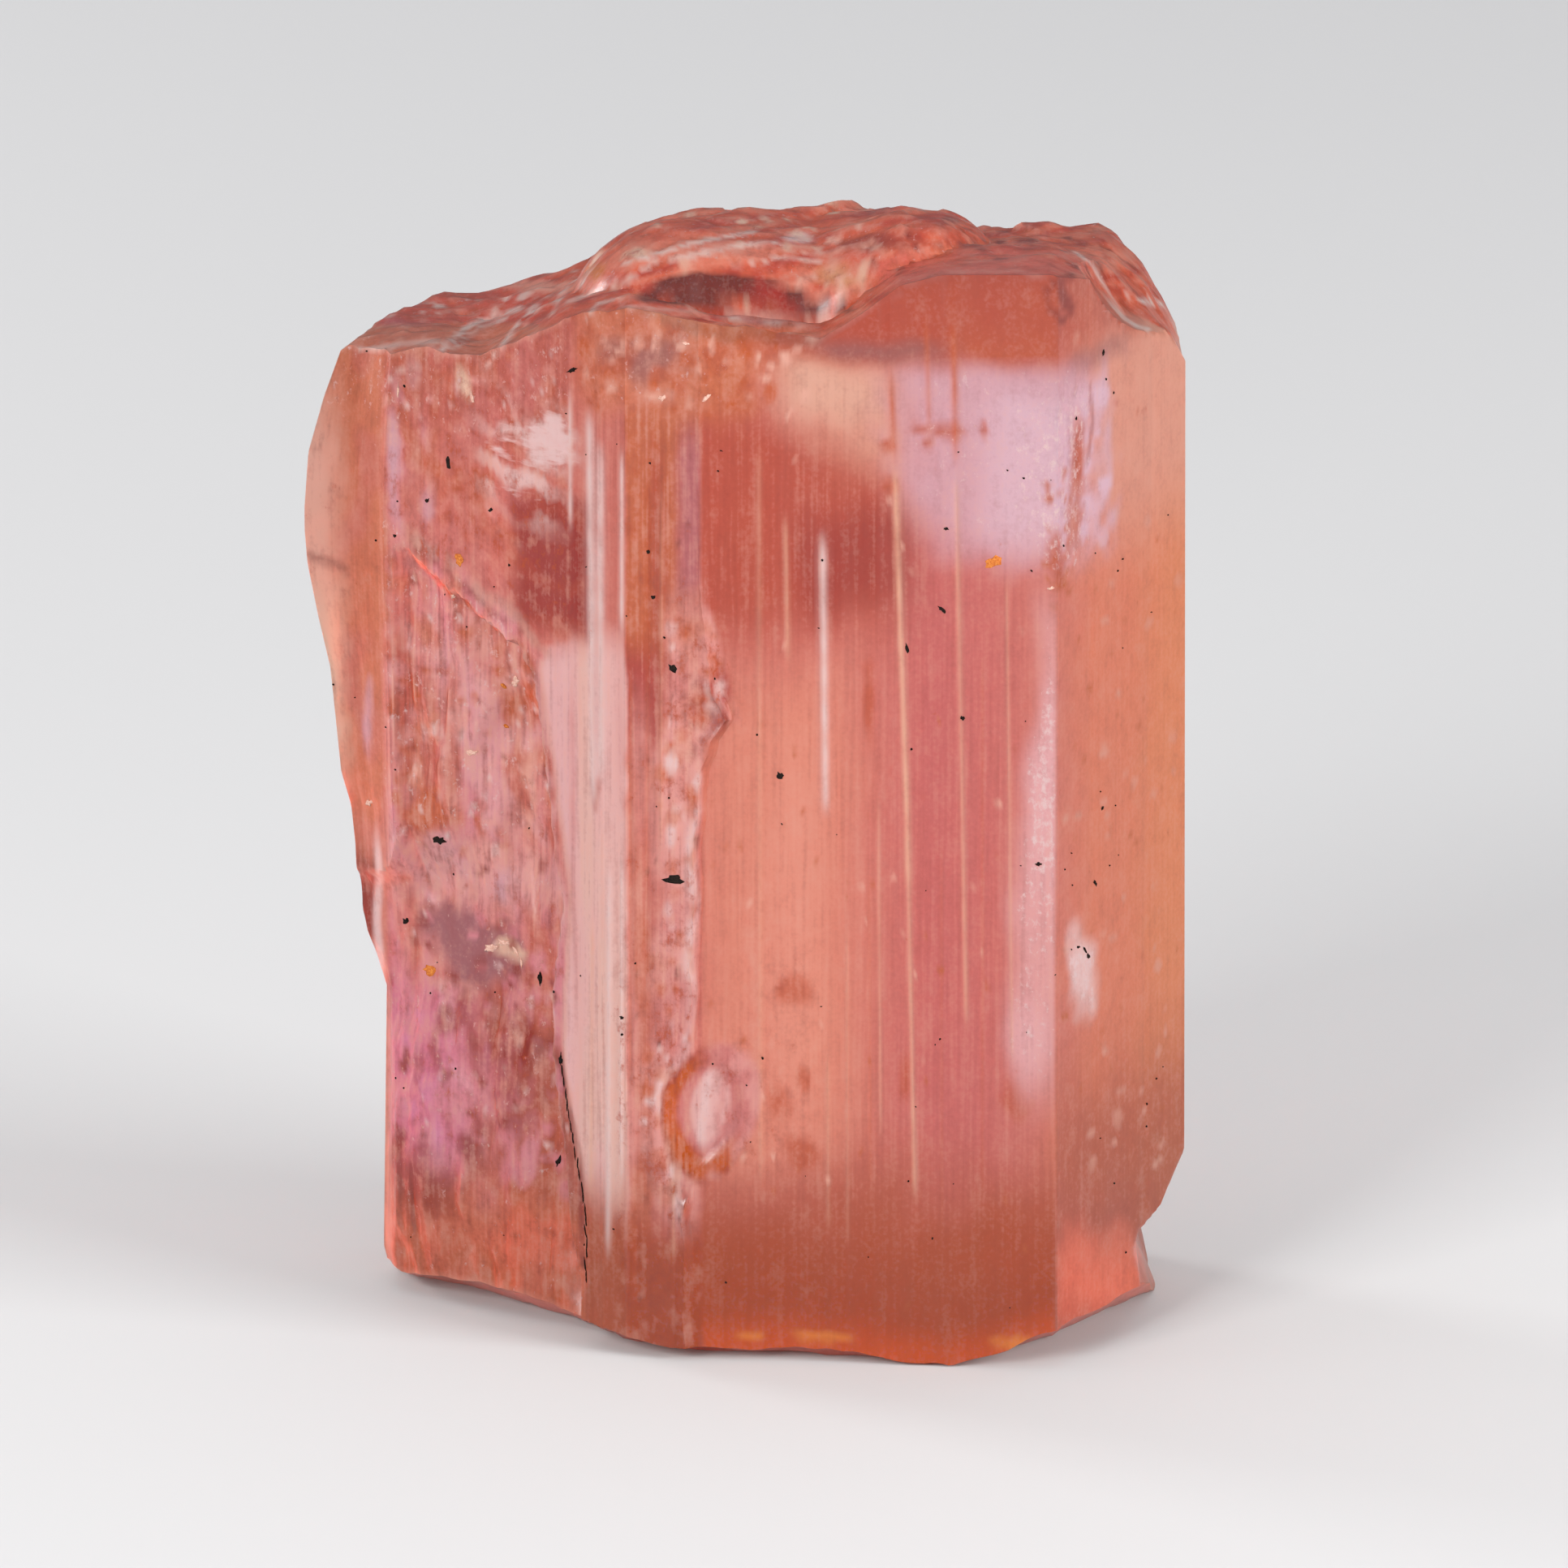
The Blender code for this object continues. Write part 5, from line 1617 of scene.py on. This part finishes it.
def scattered_dust():
    """Tiny crumbs all round the crystal, at random places that are the same each run."""
    dice = random.Random(DUST_SEED)
    dust = []
    for _ in range(DUST_COUNT):
        size = dice.uniform(0.025, 0.055)
        turn = dice.uniform(-math.pi, math.pi)
        x = dice.uniform(-6.5, 6.5)
        z = dice.uniform(1.0, 17.5)
        width = size * dice.uniform(0.5, 1.0)
        dust.append((x, z, size, width, dice.uniform(-1.5, 1.5), turn))
    return tuple(dust)


def crack_crumbs():
    """The dark broken line along the lower edge of the splintered recess."""
    crumbs = []
    height = CRACK_FOOT
    while height < CRACK_HEAD:
        width = 0.022 + 0.02 * ripple(2.3 * height, 1.0)
        x = follow(RIDGE_LEFT, height) + 0.04 * ripple(3.0 * height, 4.0)
        crumbs.append((x, height, 1.1 * CRACK_CRUMB, width, 1.65 + 0.3 * ripple(4.0 * height, 8.0)))
        height += CRACK_CRUMB * (1.0 + 0.5 * ripple(5.0 * height, 2.0))
    return tuple(crumbs)


def add_crumbs(name, crumbs, crystal, material):
    """One piece of all the crumbs of a kind."""
    places = [vert.co for vert in crystal.data.vertices]
    tree = BVHTree.FromPolygons(places, [face.vertices for face in crystal.data.polygons])
    shape = bmesh.new()
    for crumb in crumbs:
        fleck(shape, tree, *crumb)
    mesh = finished_mesh(shape, name)
    mesh.materials.append(material)
    piece = placed(name, mesh)
    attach(piece, "root")


def add_floor():
    """The plain pale floor."""
    mesh = bpy.data.meshes.new("floor")
    size = FLOOR_SIZE * MM
    level = -FLOOR_DROP * MM
    corners = [(-size, -size, level), (size, -size, level), (size, size, level), (-size, size, level)]
    mesh.from_pydata(corners, [], [(0, 1, 2, 3)])
    floor = placed("floor", mesh)
    material, _, shader = started_material("pale floor")
    shader.inputs["Base Color"].default_value = FLOOR_COLOUR
    shader.inputs["Roughness"].default_value = FLOOR_ROUGHNESS
    mesh.materials.append(material)


def add_light(name, place, size, power):
    """A square soft light, placed in millimetres and aimed at the crystal's middle."""
    light = bpy.data.lights.new(name, "AREA")
    light.size = size * MM
    light.energy = power
    lamp = placed(name, light)
    lamp.location = Vector(place) * MM
    direction = Vector(LAMP_AIM) - Vector(place)
    lamp.rotation_euler = direction.to_track_quat("-Z", "Y").to_euler()


def add_studio():
    """A sky that is brighter above than at the horizon, and the soft lamps."""
    world = bpy.data.worlds.new("studio")
    world.use_nodes = True
    tree = world.node_tree
    background = tree.nodes["Background"]
    background.inputs["Color"].default_value = SKY_COLOUR
    height = tree.nodes.new("ShaderNodeSeparateXYZ")
    tree.links.new(tree.nodes.new("ShaderNodeTexCoord").outputs["Generated"], height.inputs[0])
    strength = ranged(tree, height.outputs["Z"], 0.25, 0.9, *SKY_STRENGTH)
    tree.links.new(strength, background.inputs["Strength"])
    bpy.context.scene.world = world
    for name, (place, size, power) in LAMPS.items():
        add_light(name, place, size, power)


def limit_light_paths():
    """Keeps the clear crystal's light paths short, so that a render takes minutes."""
    cycles = bpy.context.scene.cycles
    cycles.max_bounces = 6
    cycles.diffuse_bounces = 1
    cycles.glossy_bounces = 2
    cycles.transmission_bounces = 5
    cycles.adaptive_threshold = 0.05


def add_camera():
    """A camera at the photograph's viewing angle."""
    camera = bpy.data.cameras.new("camera")
    camera.lens = CAMERA_LENS
    camera.sensor_width = SENSOR
    camera.clip_start, camera.clip_end = CLIPPING
    holder = placed("camera", camera)
    looking = Vector((0, math.cos(ELEVATION), -math.sin(ELEVATION)))
    holder.location = (AIM - looking * CAMERA_DISTANCE) * MM
    holder.rotation_euler = looking.to_track_quat("-Z", "Y").to_euler()
    bpy.context.scene.camera = holder


topaz = add_crystal()
dust = scattered_dust()
dark = crumb_material("dark crumbs", (0.004, 0.003, 0.003), (0.02, 0.012, 0.008))
rusty = crumb_material("rusty crumbs", (0.36, 0.08, 0.015), (0.60, 0.22, 0.05))
pale = crumb_material("pale crumbs", (0.50, 0.26, 0.20), (0.68, 0.44, 0.36))
add_crumbs("dark_crumbs", DARK_CRUMBS + crack_crumbs() + dust, topaz, dark)
add_crumbs("pale_crumbs", PALE_CRUMBS, topaz, pale)
add_crumbs("rusty_crumbs", RUSTY_CRUMBS, topaz, rusty)
add_floor()
add_studio()
add_camera()
bpy.context.scene.view_settings.view_transform = "Standard"
limit_light_paths()
